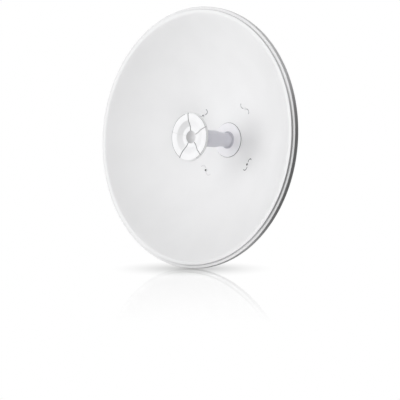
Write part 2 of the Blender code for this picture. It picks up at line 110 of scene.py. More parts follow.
def polar(radius: float, turn: float, centre: Point = (0, 0)) -> Point:
    """Return the point at a radius and a turn, in radians, round a centre."""
    return centre[0] + radius * math.cos(turn), centre[1] + radius * math.sin(turn)


def circle(radius: float, centre: Point = (0, 0), count: int = 48) -> Loop:
    """Return the points of a circle, counter-clockwise."""
    return [polar(radius, 2 * math.pi * i / count, centre) for i in range(count)]


def fillet(
    points: Sequence[Point],
    radii: float | Sequence[float],
    count: int = 5,
    closed: bool = True,
) -> Loop:
    """Round the corners of a line.

    Args:
        points: the corners.
        radii: one radius for all corners, or one for each.
        count: arc steps a corner.
        closed: whether the last point joins the first.

    Returns:
        The points of the rounded line.
    """
    size = len(points)
    most = 0.49  # share of an edge that one round may take
    each = [radii] * size if isinstance(radii, (int, float)) else list(radii)
    made: Loop = []
    for i, (corner, radius) in enumerate(zip(points, each)):
        here = Vector(corner)
        if radius <= 0 or (not closed and i in (0, size - 1)):
            made.append(tuple(here))
            continue
        back = Vector(points[i - 1]) - here
        onward = Vector(points[(i + 1) % size]) - here
        half = back.angle(onward) / 2
        reach = min(radius / math.tan(half), most * back.length, most * onward.length)
        start = here + back.normalized() * reach
        end = here + onward.normalized() * reach
        for k in range(count + 1):
            t = k / count
            made.append(tuple(start * (1 - t) ** 2 + here * 2 * t * (1 - t) + end * t * t))
    return made


def box_outline(low: Point, high: Point, radius: float = 0) -> Loop:
    """Return a rectangle from its low to its high corner, with round corners."""
    corners = [low, (high[0], low[1]), high, (low[0], high[1])]
    return fillet(corners, radius) if radius else corners


def offset(points: Sequence[Point], distance: float) -> Loop:
    """Move an open line to its right-hand side.

    Args:
        points: the line.
        distance: how far it moves.

    Returns:
        The moved line, with as many points.
    """
    line: Loop = []
    for i, point in enumerate(points):
        here = Vector(point)
        into = here - Vector(points[i - 1]) if i else None
        onto = Vector(points[i + 1]) - here if i + 1 < len(points) else None
        first = (into or onto).normalized()
        last = (onto or into).normalized()
        right = Vector((first.y, -first.x))
        middle = (right + Vector((last.y, -last.x))).normalized()
        line.append(tuple(here + middle * distance / middle.dot(right)))
    return line


def sheet(front: Sequence[Point], thickness: float) -> Loop:
    """Return the closed outline of a sheet from its front line."""
    return list(front) + offset(front, thickness)[::-1]


def ribbon(line: Sequence[Point], width: float) -> Loop:
    """Return the closed outline of a band of a width along a line."""
    return offset(line, -width / 2) + offset(line, width / 2)[::-1]


def arc_slot(centre: Point, radius: float, width: float, middle: float, half: float) -> Loop:
    """Return a round-ended slot along an arc.

    Args:
        centre: the arc's centre.
        radius: the arc's radius.
        width: the slot's width.
        middle: direction of its middle, in degrees.
        half: half of the angle it spans, in degrees.

    Returns:
        The points of its outline.
    """
    steps = max(12, round(half * 0.8))
    turns = [math.radians(middle - half + 2 * half * i / steps) for i in range(steps + 1)]

    def cap(turn: float, start: float) -> Loop:
        """Return the half round at one end."""
        tip = polar(radius, turn, centre)
        return [polar(width / 2, turn + start + math.pi * k / 8, tip) for k in range(1, 8)]

    outer = [polar(radius + width / 2, t, centre) for t in turns]
    inner = [polar(radius - width / 2, t, centre) for t in reversed(turns)]
    return outer + cap(turns[-1], 0) + inner + cap(turns[0], math.pi)


def smooth_line(points: Sequence[Point], steps: int = 3) -> Loop:
    """Put points between the given ones on one smooth curve.

    Args:
        points: the points it passes through.
        steps: spans between each two.

    Returns:
        The denser line.
    """

    def between(p: float, q: float, r: float, s: float, t: float) -> float:
        """Return one coordinate from q at t = 0 to r at t = 1, by a Catmull-Rom curve."""
        square, cube = 2 * p - 5 * q + 4 * r - s, 3 * q - p - 3 * r + s
        return 0.5 * (2 * q + (r - p) * t + square * t**2 + cube * t**3)

    ends = [points[0], *points, points[-1]]
    line: Loop = []
    for near in zip(ends, ends[1:], ends[2:], ends[3:]):
        for k in range(steps):
            line.append(tuple(between(*values, k / steps) for values in zip(*near)))
    return [*line, tuple(points[-1])]


def domed(radius: float, height: float, steps: int = 9) -> Loop:
    """Return half the outline of a low dome that stands on height 0."""
    turns = [math.pi / 2 * k / steps for k in range(steps + 1)]
    return [(radius * math.sin(t), height * math.cos(t)) for t in turns]


def hexagon(radius: float, turn: float) -> float:
    """Return how far a hexagon reaches at a turn, its corners at a radius."""
    part = turn % (math.pi / 3) - math.pi / 6
    return radius * math.cos(math.pi / 6) / math.cos(part)


def waste(corner: Point, inward: Point, radius: float) -> Loop:
    """Return what is cut off to round a corner.

    Args:
        corner: the corner.
        inward: signs of the two ways into the sheet.
        radius: radius of the round.

    Returns:
        The outline of the offcut.
    """
    (x, y), (a, b) = corner, inward
    arc = [math.pi / 2 * k / 8 for k in range(9)]
    curve = [
        (x + a * radius * (1 - math.sin(t)), y + b * radius * (1 - math.cos(t)))
        for t in arc
    ]
    far_x, far_y = x - a * PAST, y - b * PAST
    return [(far_x, far_y), (x + a * radius, far_y), *curve, (far_x, y + b * radius)]


# ---- meshes


def finish_mesh(mesh: bpy.types.Mesh, crease: float = CREASE) -> bpy.types.Mesh:
    """Weld a mesh, turn its faces outwards and shade it smooth up to a crease angle.

    Args:
        mesh: the mesh, in metres.
        crease: edges over this angle stay sharp, in degrees.

    Returns:
        The same mesh.
    """
    work = bmesh.new()
    work.from_mesh(mesh)
    bmesh.ops.remove_doubles(work, verts=work.verts, dist=ON_AXIS)
    bmesh.ops.recalc_face_normals(work, faces=work.faces)
    work.to_mesh(mesh)
    work.free()
    mesh.shade_smooth()
    mesh.set_sharp_from_angle(angle=math.radians(crease))
    return mesh


def skin(
    rings: Sequence[Sequence[Point3]], closed: bool = True, crease: float = CREASE
) -> bpy.types.Mesh:
    """Join rings of points, one after the other, into a surface.

    Args:
        rings: the rings, in metres; one of a single point is a tip on the axis.
        closed: whether the last ring joins the first.
        crease: edges over this angle stay sharp, in degrees.

    Returns:
        The mesh.
    """
    size = max(len(ring) for ring in rings)
    verts: list[Point3] = []
    numbers: list[list[int]] = []
    for ring in rings:
        first = len(verts)
        verts.extend(ring)
        numbers.append(list(range(first, first + size)) if len(ring) > 1 else [first] * size)
    faces = []
    for a, b in zip(numbers, numbers[1:] + numbers[:1] * closed):
        for k in range(size):
            n = (k + 1) % size
            face = list(dict.fromkeys((a[k], a[n], b[n], b[k])))
            if len(face) > 2:
                faces.append(face)
    mesh = bpy.data.meshes.new("skin")
    mesh.from_pydata(verts, [], faces)
    return finish_mesh(mesh, crease)


def lathe(
    profile: Sequence[Point],
    segments: int = 96,
    closed: bool = True,
    reach: Callable[[float, float, float], float] | None = None,
    crease: float = CREASE,
) -> bpy.types.Mesh:
    """Turn a profile round its height axis.

    Args:
        profile: (radius, height) points.
        segments: steps of the turn.
        closed: whether the profile is a loop; an open one ends on the axis.
        reach: gives the radius from (radius, height, angle), for threads and flats.
        crease: edges over this angle stay sharp, in degrees.

    Returns:
        The mesh, in metres, with the axis along Z.
    """
    turns = [2 * math.pi * k / segments for k in range(segments)]
    rings = []
    for radius, height in profile:
        if radius < ON_AXIS:
            rings.append([(0, 0, height * MM)])
            continue
        ring = []
        for turn in turns:
            far = (reach(radius, height, turn) if reach else radius) * MM
            ring.append((far * math.cos(turn), far * math.sin(turn), height * MM))
        rings.append(ring)
    return skin(rings, closed, crease)


def plate(loops: Sequence[Loop], low: float, high: float, edge: float = 0) -> bpy.types.Mesh:
    """Return a flat plate with holes, from height low to high.

    Args:
        loops: the outline, then the holes.
        low: height of its underside.
        high: height of its top.
        edge: radius of its rounded edges.

    Returns:
        The mesh, in metres, lying in XY.
    """
    curve = bpy.data.curves.new("plate", "CURVE")
    curve.dimensions = "2D"
    curve.fill_mode = "BOTH"
    curve.extrude = ((high - low) / 2 - edge) * MM
    curve.bevel_depth = edge * MM
    curve.offset = -edge * MM
    curve.bevel_resolution = 2
    for loop in loops:
        spline = curve.splines.new("POLY")
        spline.points.add(len(loop) - 1)
        for point, (x, y) in zip(spline.points, loop):
            point.co = (x * MM, y * MM, 0, 1)
        spline.use_cyclic_u = True
    holder = bpy.data.objects.new("plate", curve)
    bpy.context.scene.collection.objects.link(holder)
    bpy.context.view_layer.update()
    solid = holder.evaluated_get(bpy.context.evaluated_depsgraph_get())
    mesh = bpy.data.meshes.new_from_object(solid)
    bpy.data.objects.remove(holder, do_unlink=True)
    mesh.transform(Matrix.Translation((0, 0, (high + low) / 2 * MM)))
    return finish_mesh(mesh)


# Stand a plate's XY on another plane: its X and Y become the two axes named
AS_XZ = Matrix(((1, 0, 0), (0, 0, -1), (0, 1, 0))).to_4x4()
AS_XZ_BACK = Matrix(((1, 0, 0), (0, 0, 1), (0, 1, 0))).to_4x4()
AS_YZ = Matrix(((0, 0, 1), (1, 0, 0), (0, 1, 0))).to_4x4()


def moved(x: float = 0, y: float = 0, z: float = 0) -> Matrix:
    """Return a translation given in millimetres."""
    return Matrix.Translation(Vector((x, y, z)) * MM)


def spun(degrees: float, axis: str) -> Matrix:
    """Return a rotation given in degrees."""
    return Matrix.Rotation(math.radians(degrees), 4, axis)


class Blank:
    """A solid that is joined with and cut by others, then takes rounded edges."""

    def __init__(self, mesh: bpy.types.Mesh, place: Matrix | None = None) -> None:
        """Start from a mesh, moved to its place."""
        self.steps: list[tuple[bpy.types.Mesh, str]] = []
        self.mesh = self._placed(mesh, place)

    @staticmethod
    def _placed(mesh: bpy.types.Mesh, place: Matrix | None) -> bpy.types.Mesh:
        """Move a mesh to its place.

        Args:
            mesh: the mesh, which is changed.
            place: where it goes; a mirror turns its faces outwards again.

        Returns:
            The same mesh.
        """
        if place is not None:
            mesh.transform(place)
            if place.determinant() < 0:
                mesh.flip_normals()
        return mesh

    def join(self, mesh: bpy.types.Mesh, place: Matrix | None = None) -> "Blank":
        """Add a solid."""
        self.steps.append((self._placed(mesh, place), "UNION"))
        return self

    def cut(self, mesh: bpy.types.Mesh, place: Matrix | None = None) -> "Blank":
        """Take a solid away."""
        self.steps.append((self._placed(mesh, place), "DIFFERENCE"))
        return self

    def keep(self, mesh: bpy.types.Mesh, place: Matrix | None = None) -> "Blank":
        """Keep only what lies within a solid."""
        self.steps.append((self._placed(mesh, place), "INTERSECT"))
        return self

    def punch(self, outline: Loop, half: float, place: Matrix | None = None) -> "Blank":
        """Cut an outline from half under its plane to half over it."""
        return self.cut(plate([outline], -half, half), place)

    def made(self, edge: float = 0, crease: float = CREASE) -> bpy.types.Mesh:
        """Carry out the steps.

        Args:
            edge: width of the rounded edges, in millimetres.
            crease: edges over this angle are rounded or left sharp, in degrees.

        Returns:
            The finished mesh.
        """
        scene = bpy.context.scene.collection.objects
        base = bpy.data.objects.new("blank", self.mesh)
        scene.link(base)
        tools = []
        for mesh, operation in self.steps:
            tool = bpy.data.objects.new("tool", mesh)
            scene.link(tool)
            tools.append(tool)
            step = base.modifiers.new("step", "BOOLEAN")
            step.operation = operation
            step.object = tool
            step.solver = "EXACT"
        if edge:
            soft = base.modifiers.new("edge", "BEVEL")
            soft.width = edge * MM
            soft.segments = 2
            soft.limit_method = "ANGLE"
            soft.angle_limit = math.radians(crease)
            soft.use_clamp_overlap = True
        bpy.context.view_layer.update()
        solid = base.evaluated_get(bpy.context.evaluated_depsgraph_get())
        mesh = bpy.data.meshes.new_from_object(solid)
        for item in (base, *tools):
            bpy.data.objects.remove(item, do_unlink=True)
        if not mesh.polygons:
            raise ValueError("a solid came out empty")
        return finish_mesh(mesh, crease)


# ---- fasteners and weld beads


def thread(
    top: Sequence[Point],
    radius: float,
    high: float,
    low: float,
    pitch: float,
    inside: Sequence[Point] | None = None,
    flats_above: float | None = None,
) -> bpy.types.Mesh:
    """Return a turned part that ends in a helical thread.

    Args:
        top: profile from the axis down to the thread.
        radius: crest radius of the thread.
        high: height where the thread starts.
        low: height where it ends.
        pitch: rise in one turn.
        inside: profile after the thread, back to the axis; a chamfered tip if left out.
        flats_above: over this height the outside is a hexagon.

    Returns:
        The mesh, with its axis along Z.
    """
    count = round((high - low) / pitch * 6)
    groove, tip = 0.55 * pitch, low - 0.6 * pitch
    rings = [(radius, high + (low - high) * i / count) for i in range(count + 1)]
    end = inside or [(radius - 0.7 * pitch, tip), (0, tip)]

    def reach(far: float, height: float, turn: float) -> float:
        """Return the radius with the thread's ridge, or the hexagon's flat.

        Args:
            far: the profile's radius.
            height: the height there.
            turn: the angle there, in radians.

        Returns:
            The radius there.
        """
        if flats_above is not None and height > flats_above and far > radius:
            return min(far, hexagon(far, turn))
        if far != radius or not low <= height <= high:
            return far
        ridge = 1 - abs(2 * ((height / pitch - turn / (2 * math.pi)) % 1) - 1)
        fade = min(1.0, (high - height) / pitch, (height - low) / pitch)
        return far - groove * (1 - ridge) * fade

    return lathe([*top, *rings, *end], 30, False, reach, 28)


@dataclass(frozen=True)
class CarriageBolt:
    """M8 bolt whose dome stands on height 0."""

    length: float
    thread_from: float
    head_r: float = 8.3
    head_h: float = 4
    shank_r: float = 4
    neck: float = 0.4
    tip: float = 0.8
    pitch: float = 1.25

    def mesh(self) -> bpy.types.Mesh:
        """Dome, plain shank and rolled thread."""
        top = [*domed(self.head_r, self.head_h), (self.shank_r, 0), (self.shank_r, -self.neck)]
        return thread(top, self.shank_r, -self.thread_from, self.tip - self.length, self.pitch)


@dataclass(frozen=True)
class Nut:
    """Chamfered hexagon nut that stands on height 0, with or without a round foot."""

    radius: float = 7.5
    bore: float = 4.3
    height: float = 6.5
    foot: float = 1.6
    lead: float = 0.6

    def mesh(self) -> bpy.types.Mesh:
        """Turn the nut, with its flats held in by the hexagon.

        Returns:
            The mesh, with its axis along Z.
        """
        radius, bore, height, foot = self.radius, self.bore, self.height, self.foot
        flat = radius * math.cos(math.pi / 6)
        rise = (radius - flat) * 0.58
        chamfer = [
            (flat - 0.1 + (radius - flat + 0.1) * k / 4, rise * k / 4) for k in range(5)
        ]
        top = [(r, height - d) for r, d in chamfer]
        low = [(r, d) for r, d in reversed(chamfer)]
        if foot:
            low = [
                (radius, foot + 0.5), (radius + 0.2, foot), (radius * 1.1, foot - 0.6),
                (radius * 1.12, 0.3), (radius * 1.1, 0),
            ]
        hole = [(bore, self.lead), (bore, height - self.lead)]
        hole = [(bore + self.lead, 0), *hole, (bore + self.lead, height)]

        def reach(far: float, level: float, turn: float) -> float:
            """Return the radius held within the hexagon over the foot."""
            in_foot = foot and level < foot + 0.4
            return far if in_foot or far < flat - 0.2 else min(far, hexagon(radius, turn))

        return lathe([*top, *low, *hole], 96, True, reach, 25)


def weld(start: float, end: float, radius: float, way: int) -> bpy.types.Mesh:
    """Return a rippled weld bead along X in the corner of a web and a plate.

    Args:
        start: where it begins.
        end: where it ends.
        radius: half its width.
        way: sign of the side of the plate that it lies on.

    Returns:
        The mesh, with the corner on the X axis.
    """
    step, sunk = 0.35, 0.5
    low, high = sorted((start, end))
    count = round((high - low) / step)
    profile: Loop = [(0, 0)]
    for i in range(count + 1):
        part = i / count
        round_end = math.sqrt(max(0.0, 1 - max(0, abs(2 * part - 1) * 1.1 - 0.1) ** 6))
        ripple = 1 + 0.07 * math.sin(i * 1.9) + 0.04 * math.sin(i * 0.73)
        profile.append((max(0.05, radius * round_end * ripple), (high - low) * part))
    profile.append((0, high - low))
    mesh = lathe(profile, 20, closed=False)
    mesh.transform(moved(x=low, y=sunk, z=-way * sunk) @ spun(90, "Y"))
    return mesh


# ---- shader arithmetic


class Wire:
    """A shader socket that takes part in Python arithmetic."""

    def __init__(self, graph: "Graph", socket: bpy.types.NodeSocket) -> None:
        """Wrap a socket of a graph."""
        self.graph = graph
        self.socket = socket

    def __add__(self, other: "Value") -> "Wire":
        """Add a value."""
        return self.graph.math("ADD", self, other)

    def __radd__(self, other: "Value") -> "Wire":
        """Add to a number."""
        return self.graph.math("ADD", other, self)

    def __sub__(self, other: "Value") -> "Wire":
        """Take a value away."""
        return self.graph.math("SUBTRACT", self, other)

    def __rsub__(self, other: "Value") -> "Wire":
        """Take away from a number."""
        return self.graph.math("SUBTRACT", other, self)

    def __mul__(self, other: "Value") -> "Wire":
        """Multiply by a value."""
        return self.graph.math("MULTIPLY", self, other)

    def __rmul__(self, other: "Value") -> "Wire":
        """Multiply a number."""
        return self.graph.math("MULTIPLY", other, self)

    def __truediv__(self, other: "Value") -> "Wire":
        """Divide by a value."""
        return self.graph.math("DIVIDE", self, other)

    def __rtruediv__(self, other: "Value") -> "Wire":
        """Divide a number."""
        return self.graph.math("DIVIDE", other, self)

    def __pow__(self, other: "Value") -> "Wire":
        """Raise to a power."""
        return self.graph.math("POWER", self, other)

    def __rpow__(self, other: "Value") -> "Wire":
        """Raise a number to this power."""
        return self.graph.math("POWER", other, self)

    def __neg__(self) -> "Wire":
        """Change the sign."""
        return self * -1.0

    def __abs__(self) -> "Wire":
        """Drop the sign."""
        return self.graph.math("ABSOLUTE", self)

    def most(self, other: "Value") -> "Wire":
        """Return the larger of two values."""
        return self.graph.math("MAXIMUM", self, other)

    def clamped(self) -> "Wire":
        """Return the value held between 0 and 1."""
        return self.graph.math("ADD", self, 0.0, clamp=True)

    def hypot(self, other: "Wire") -> "Wire":
        """Return the distance that two legs at a right angle span."""
        return (self * self + other * other) ** 0.5

    def step(self, low: float, high: float) -> "Wire":
        """Return a smooth 0 to 1 as the value goes from low to high."""
        given = {"Value": self, "From Min": low, "From Max": high}
        return self.graph.node("ShaderNodeMapRange", {"interpolation_type": "SMOOTHSTEP"}, given)

    def step_mm(self, low: float, high: float) -> "Wire":
        """Return a smooth 0 to 1 between two places in millimetres."""
        return self.step(low * MM, high * MM)

    def scaled(self, factors: Point3) -> "Wire":
        """Return a vector times a vector of factors."""
        given = {0: self, 1: factors}
        return self.graph.node("ShaderNodeVectorMath", {"operation": "MULTIPLY"}, given)

    def dot(self, way: Point3) -> "Wire":
        """Return the dot product with a direction."""
        settings, given = {"operation": "DOT_PRODUCT"}, {0: self, 1: way}
        return self.graph.node("ShaderNodeVectorMath", settings, given, "Value")

    def split(self) -> tuple["Wire", "Wire", "Wire"]:
        """Return the three values of a vector."""
        parts = self.graph.node("ShaderNodeSeparateXYZ", {}, {0: self}).socket.node
        return tuple(Wire(self.graph, out) for out in parts.outputs)


Value = Wire | float | Sequence[float]


class Graph:
    """The node tree of one material or world, filled by method calls."""

    MIX_A, MIX_B, MIX_OUT = 6, 7, 2  # the colour sockets of a Mix node

    def __init__(self, owner: bpy.types.Material | bpy.types.World) -> None:
        """Clear an owner's tree and make its output.

        Args:
            owner: the material or world.
        """
        owner.use_nodes = True
        self.tree = owner.node_tree
        self.tree.nodes.clear()
        kind = "World" if isinstance(owner, bpy.types.World) else "Material"
        self.output = self.tree.nodes.new(f"ShaderNodeOutput{kind}")

    def node(
        self,
        kind: str,
        settings: Mapping[str, Any] | None = None,
        sockets: Mapping[str | int, Value] | None = None,
        out: str | int = 0,
    ) -> Wire:
        """Add a node.

        Args:
            kind: its type.
            settings: its properties, which are set first.
            sockets: values or links by socket name or number.
            out: the output to return.

        Returns:
            The output as a wire.
        """
        made = self.tree.nodes.new(kind)
        for key, value in (settings or {}).items():
            setattr(made, key, value)
        for key, value in (sockets or {}).items():
            self._feed(made.inputs[key], value)
        return Wire(self, made.outputs[out])

    def _feed(self, socket: bpy.types.NodeSocket, value: Value) -> None:
        """Link a wire to a socket, or set its value.

        Args:
            socket: the input.
            value: a wire, a number, a vector, or a colour without its alpha.
        """
        if isinstance(value, Wire):
            self.tree.links.new(value.socket, socket)
        elif socket.type == "RGBA" and len(value) == 3:
            socket.default_value = (*value, 1)
        else:
            socket.default_value = value

    def end(self, shader: Wire) -> None:
        """Link a shader to the output."""
        self.tree.links.new(shader.socket, self.output.inputs["Surface"])

    def math(self, operation: str, *values: Value, clamp: bool = False) -> Wire:
        """Return values put through a Math node."""
        settings = {"operation": operation, "use_clamp": clamp}
        return self.node("ShaderNodeMath", settings, dict(enumerate(values)))

    def place(self) -> Wire:
        """Return the point in the piece's own space."""
        return self.node("ShaderNodeTexCoord", out="Object")

    def noise(self, at: Wire, scale: float, detail: float = 3, rough: float = 0.5) -> Wire:
        """Return soft noise near 0.5, from its bumps a metre and its octaves."""
        given = {"Vector": at, "Scale": scale, "Detail": detail, "Roughness": rough}
        return self.node("ShaderNodeTexNoise", {}, given, "Fac")

    def cells(self, at: Wire, scale: float, feature: str = "F1", out: str = "Distance") -> Wire:
        """Return an output of a cell pattern with so many cells a metre."""
        given = {"Vector": at, "Scale": scale}
        return self.node("ShaderNodeTexVoronoi", {"feature": feature}, given, out)

    def blend(self, factor: Value, first: Value, second: Value) -> Wire:
        """Return a mix of two colours."""
        given = {"Factor": factor, self.MIX_A: first, self.MIX_B: second}
        return self.node("ShaderNodeMix", {"data_type": "RGBA"}, given, self.MIX_OUT)

    def bump(self, height: Wire, strength: float, distance: float) -> Wire:
        """Return a normal raised by a height of 0 to 1, as deep as a distance."""
        given = {"Height": height, "Strength": strength, "Distance": distance * MM}
        return self.node("ShaderNodeBump", {}, given)


# ---- finishes


@dataclass(frozen=True)
class Finish:
    """A surface finish: a name, the record's slot and how its shader is wired."""

    name: str
    slot: str
    colour: Point3
    roughness: float
    metallic: float = 0.0
    made: ClassVar[dict[str, bpy.types.Material]] = {}

    def material(self) -> bpy.types.Material:
        """Make the finish's material, once.

        Returns:
            The material.
        """
        if self.name not in Finish.made:
            material = bpy.data.materials.new(self.name)
            graph = Graph(material)
            given = {"Roughness": self.roughness, "Metallic": self.metallic}
            given.update(self.surface(graph, graph.place()))
            graph.end(graph.node("ShaderNodeBsdfPrincipled", {}, given))
            Finish.made[self.name] = material
        return Finish.made[self.name]

    def tinted(self, graph: Graph, amount: Wire, dark: float) -> Wire:
        """Return the colour darkened where an amount is high."""
        shade = tuple(c * dark for c in self.colour)
        return graph.blend(amount, self.colour, shade)

    def surface(self, graph: Graph, at: Wire) -> dict[str, Value]:
        """Wire what varies over the surface, and return the shader's inputs by name."""
        raise NotImplementedError


@dataclass(frozen=True)
class PowderCoat(Finish):
    """Matt polyester powder coat, with painted shade on the steps of the rolled rim."""

    peel: float = 0.05
    # painted shade on the rim's steps: how much each step takes, then the tone it darkens to
    wall_shade: float = 0.5
    flat_shade: float = 0.2
    crest_shade: float = 0.36
    shade_and_mottle_tone: float = 0.02
    right_and_down: Point = (0.94, 0.342)

    def surface(self, graph: Graph, at: Wire) -> dict[str, Value]:
        """Wire the orange peel, the settled dust and the painted shade on the rim's steps.

        Args:
            graph: the material's nodes.
            at: the point in the piece's own space.

        Returns:
            The shader's inputs.
        """
        mottle = graph.noise(at, 14, 4).step(0.35, 0.7)
        dust = graph.noise(at, 240, 6, 0.65).step(0.55, 0.75)
        relief = graph.noise(at, 700, 2) + graph.noise(at, 2600, 1) * 0.25
        # painted shade on the rim's steps, plus a little real mottle
        amount = self.bands(at) + mottle * 0.02
        return {
            "Base Color": self.tinted(graph, amount.clamped(), self.shade_and_mottle_tone),
            "Roughness": self.roughness + dust * 0.1 - mottle * 0.04,
            "Normal": graph.bump(relief, 0.25, self.peel),
        }

    def bands(self, at: Wire) -> Wire:
        """Paint shade on the rim's steps, deepest low on the right.

        Args:
            at: the point in the piece's own space.

        Returns:
            How much painted shade the steps take, 0 elsewhere.
        """
        x, _, z = at.split()
        radius, (right, down) = x.hypot(z), self.right_and_down
        side = (x * right - z * down).step_mm(0.72 * RIM_R, 0.99 * RIM_R)
        wall = radius.step_mm(RIM_R - 1.4, RIM_R - 0.4)
        flat = radius.step_mm(CREST_R - 1, CREST_R)
        crest = flat * (1 - radius.step_mm(CREST_R + 0.8, CREST_R + 2))
        bands = wall * self.wall_shade + flat * self.flat_shade + crest * self.crest_shade
        return bands * (side * 0.75 + 0.25)


@dataclass(frozen=True)
class MouldedPlastic(Finish):
    """Satin moulded plastic with a spark-eroded grain and faint flow marks."""

    grain: float = 0.03

    def surface(self, graph: Graph, at: Wire) -> dict[str, Value]:
        """Wire the grain and the flow marks.

        Args:
            graph: the material's nodes.
            at: the point in the piece's own space.

        Returns:
            The shader's inputs.
        """
        flow = graph.noise(at.scaled((30, 30, 90)), 1, 5, 0.6).step(0.3, 0.75)
        speck = graph.noise(at, 1900, 3, 0.6)
        return {
            "Base Color": self.toned(graph, at, flow),
            "Roughness": self.roughness + flow * 0.08 + speck * 0.06,
            "Normal": graph.bump(speck, 0.3, self.grain),
        }

    def toned(self, graph: Graph, at: Wire, flow: Wire) -> Wire:
        """Return the colour, a little darker on the flow marks."""
        return self.tinted(graph, flow, 0.96)


@dataclass(frozen=True)
class CapFace(MouldedPlastic):
    """White moulding with painted shade on a band round its middle and in its seams."""

    # the band of painted shade, from its inner to its outer radius
    band: Point = (25, 43)
    soft: float = 3
    seam_reach: float = 0.75
    # how much painted shade each seam takes
    seam_shade: tuple[float, ...] = (1, 0.12, 1, 0.75, 0.55)
    # the tone that the painted shade and the flow marks darken to
    dirt: float = 0.25
    up_and_left: Point = (0.588, 0.809)

    def toned(self, graph: Graph, at: Wire, flow: Wire) -> Wire:
        """Paint shade on the band, deepest towards its top, and in the seams.

        Args:
            graph: the material's nodes.
            at: the point in the piece's own space.
            flow: the flow marks.

        Returns:
            The colour.
        """
        x, y, _ = at.split()
        radius = x.hypot(y)
        inner, outer = self.band
        band = radius.step_mm(inner, inner + self.soft)
        band = band * (1 - radius.step_mm(outer - self.soft, outer))
        up, left = self.up_and_left
        shaded_sector = (1 - x.step_mm(-1, 1)) * (y * up - x * left).step_mm(0, 8)
        # painted shade on the band, only up and to the left, darker towards the top
        amount = band * shaded_sector * (0.15 + y * 2.2)
        # painted shade along each seam, stronger on some seams than others
        for k, strength in enumerate(self.seam_shade):
            turn = math.radians(90 + 360 * k / len(self.seam_shade))
            along = x * math.cos(turn) + y * math.sin(turn)
            across = abs(x * math.sin(turn) - y * math.cos(turn))
            line = 1 - across.step_mm(self.seam_reach, self.seam_reach + 0.4)
            amount = amount.most(line * along.step_mm(0, 4) * strength)
        return self.tinted(graph, (amount + flow * 0.05).clamped(), self.dirt)


@dataclass(frozen=True)
class SideShadedPlastic(MouldedPlastic):
    """Grey moulding with painted shade that fades out towards one side."""

    # where along X the painted shade fades out, and its dark tone
    shade_fade_start: float = -16
    shade_fade_end: float = 28
    shade_and_speck_tone: float = 0.56

    def toned(self, graph: Graph, at: Wire, flow: Wire) -> Wire:
        """Paint shade across the piece, dark on one side and fading out towards the other.

        Args:
            graph: the material's nodes.
            at: the point in the piece's own space.
            flow: the flow marks, not used here.

        Returns:
            The colour.
        """
        # painted shade, dark on the -X side and gone towards +X
        shaded_side = 1 - at.split()[0].step_mm(self.shade_fade_start, self.shade_fade_end)
        speck = graph.noise(at, 500, 3, 0.6).step(0.4, 0.8)
        return self.tinted(graph, (shaded_side + speck * 0.06).clamped(), self.shade_and_speck_tone)


@dataclass(frozen=True)
class Galvanised(Finish):
    """Hot-dip zinc: grey spangles that differ in tone and gloss, with dull patches."""

    spangles: float = 190

    def surface(self, graph: Graph, at: Wire) -> dict[str, Value]:
        """Wire the spangles, the dull patches and a faint relief.

        Args:
            graph: the material's nodes.
            at: the point in the piece's own space.

        Returns:
            The shader's inputs.
        """
        warp = graph.noise(at, 90, 3)
        tone = graph.cells(at, self.spangles, "F1", "Color").split()[0]
        seam = graph.cells(at, self.spangles, "DISTANCE_TO_EDGE").step(0.0, 0.06)
        dull = (graph.noise(at, 26, 5, 0.6) + warp * 0.3).step(0.55, 0.85)
        light = tone * 0.6 + (1 - seam) * 0.15 + dull * 0.5
        return {
            "Base Color": self.tinted(graph, light.clamped(), 0.72),
            "Roughness": self.roughness + tone * 0.14 + dull * 0.22,
            "Metallic": self.metallic - dull * 0.25,
            "Normal": graph.bump(tone * 0.5 + seam * 0.3 + warp * 0.4, 0.2, 0.05),
        }


@dataclass(frozen=True)
class PlatedSteel(Finish):
    """Bright-plated steel with fine turning lines round its own axis."""

    lines: float = 2600

    def surface(self, graph: Graph, at: Wire) -> dict[str, Value]:
        """Wire the turning lines and a thin stain.

        Args:
            graph: the material's nodes.
            at: the point in the piece's own space.

        Returns:
            The shader's inputs.
        """
        x, y, z = at.split()
        rings = graph.math("SINE", (x.hypot(y) + z * 0.35) * self.lines * 6.28)
        stain = graph.noise(at, 160, 5, 0.6).step(0.45, 0.75)
        return {
            "Base Color": self.tinted(graph, stain, 0.78),
            "Roughness": self.roughness + stain * 0.16 + rings * 0.03,
            "Normal": graph.bump(rings * 0.5 + 0.5, 0.12, 0.01),
        }


@dataclass(frozen=True)
class ScrewHead(Finish):
    """Screw painted over with the bowl's powder, with painted shade inside its socket."""

    socket_r: float = 0
    socket_floor: float = 0.85

    def surface(self, graph: Graph, at: Wire) -> dict[str, Value]:
        """Wire the painted shade in the socket, the powder-painted head and its unpainted
        thread.

        Args:
            graph: the material's nodes.
            at: the point in the piece's own space.

        Returns:
            The shader's inputs.
        """
        x, y, z = at.split()
        # painted shade inside the socket
        inside = 1 - x.hypot(y).step_mm(self.socket_r, self.socket_r + 0.15)
        dark = inside * z.step_mm(self.socket_floor - 0.4, self.socket_floor)
        worn = graph.noise(at, 900, 4, 0.6).step(0.5, 0.8)
        return {
            "Base Color": self.tinted(graph, (dark + worn * 0.12).clamped(), 0.02),
            "Roughness": self.roughness + worn * 0.15 + dark * 0.3,
            "Metallic": 1 - z.step_mm(-0.9, -0.4),
            "Normal": graph.bump(worn, 0.2, 0.03),
        }


@dataclass(frozen=True)
class CastMetal(Finish):
    """Sand-cast aluminium: a pebbled skin with darker pits."""

    def surface(self, graph: Graph, at: Wire) -> dict[str, Value]:
        """Wire the pebbles and the pits.

        Args:
            graph: the material's nodes.
            at: the point in the piece's own space.

        Returns:
            The shader's inputs.
        """
        pebbles = graph.noise(at, 900, 5, 0.65)
        pits = graph.cells(at, 620).step(0.0, 0.35)
        shade = graph.noise(at, 40, 4).step(0.35, 0.75)
        return {
            "Base Color": self.tinted(graph, (shade * 0.5 + (1 - pits) * 0.5).clamped(), 0.7),
            "Roughness": self.roughness + pebbles * 0.2,
            "Normal": graph.bump(pebbles * 0.7 + pits * 0.3, 0.45, 0.12),
        }


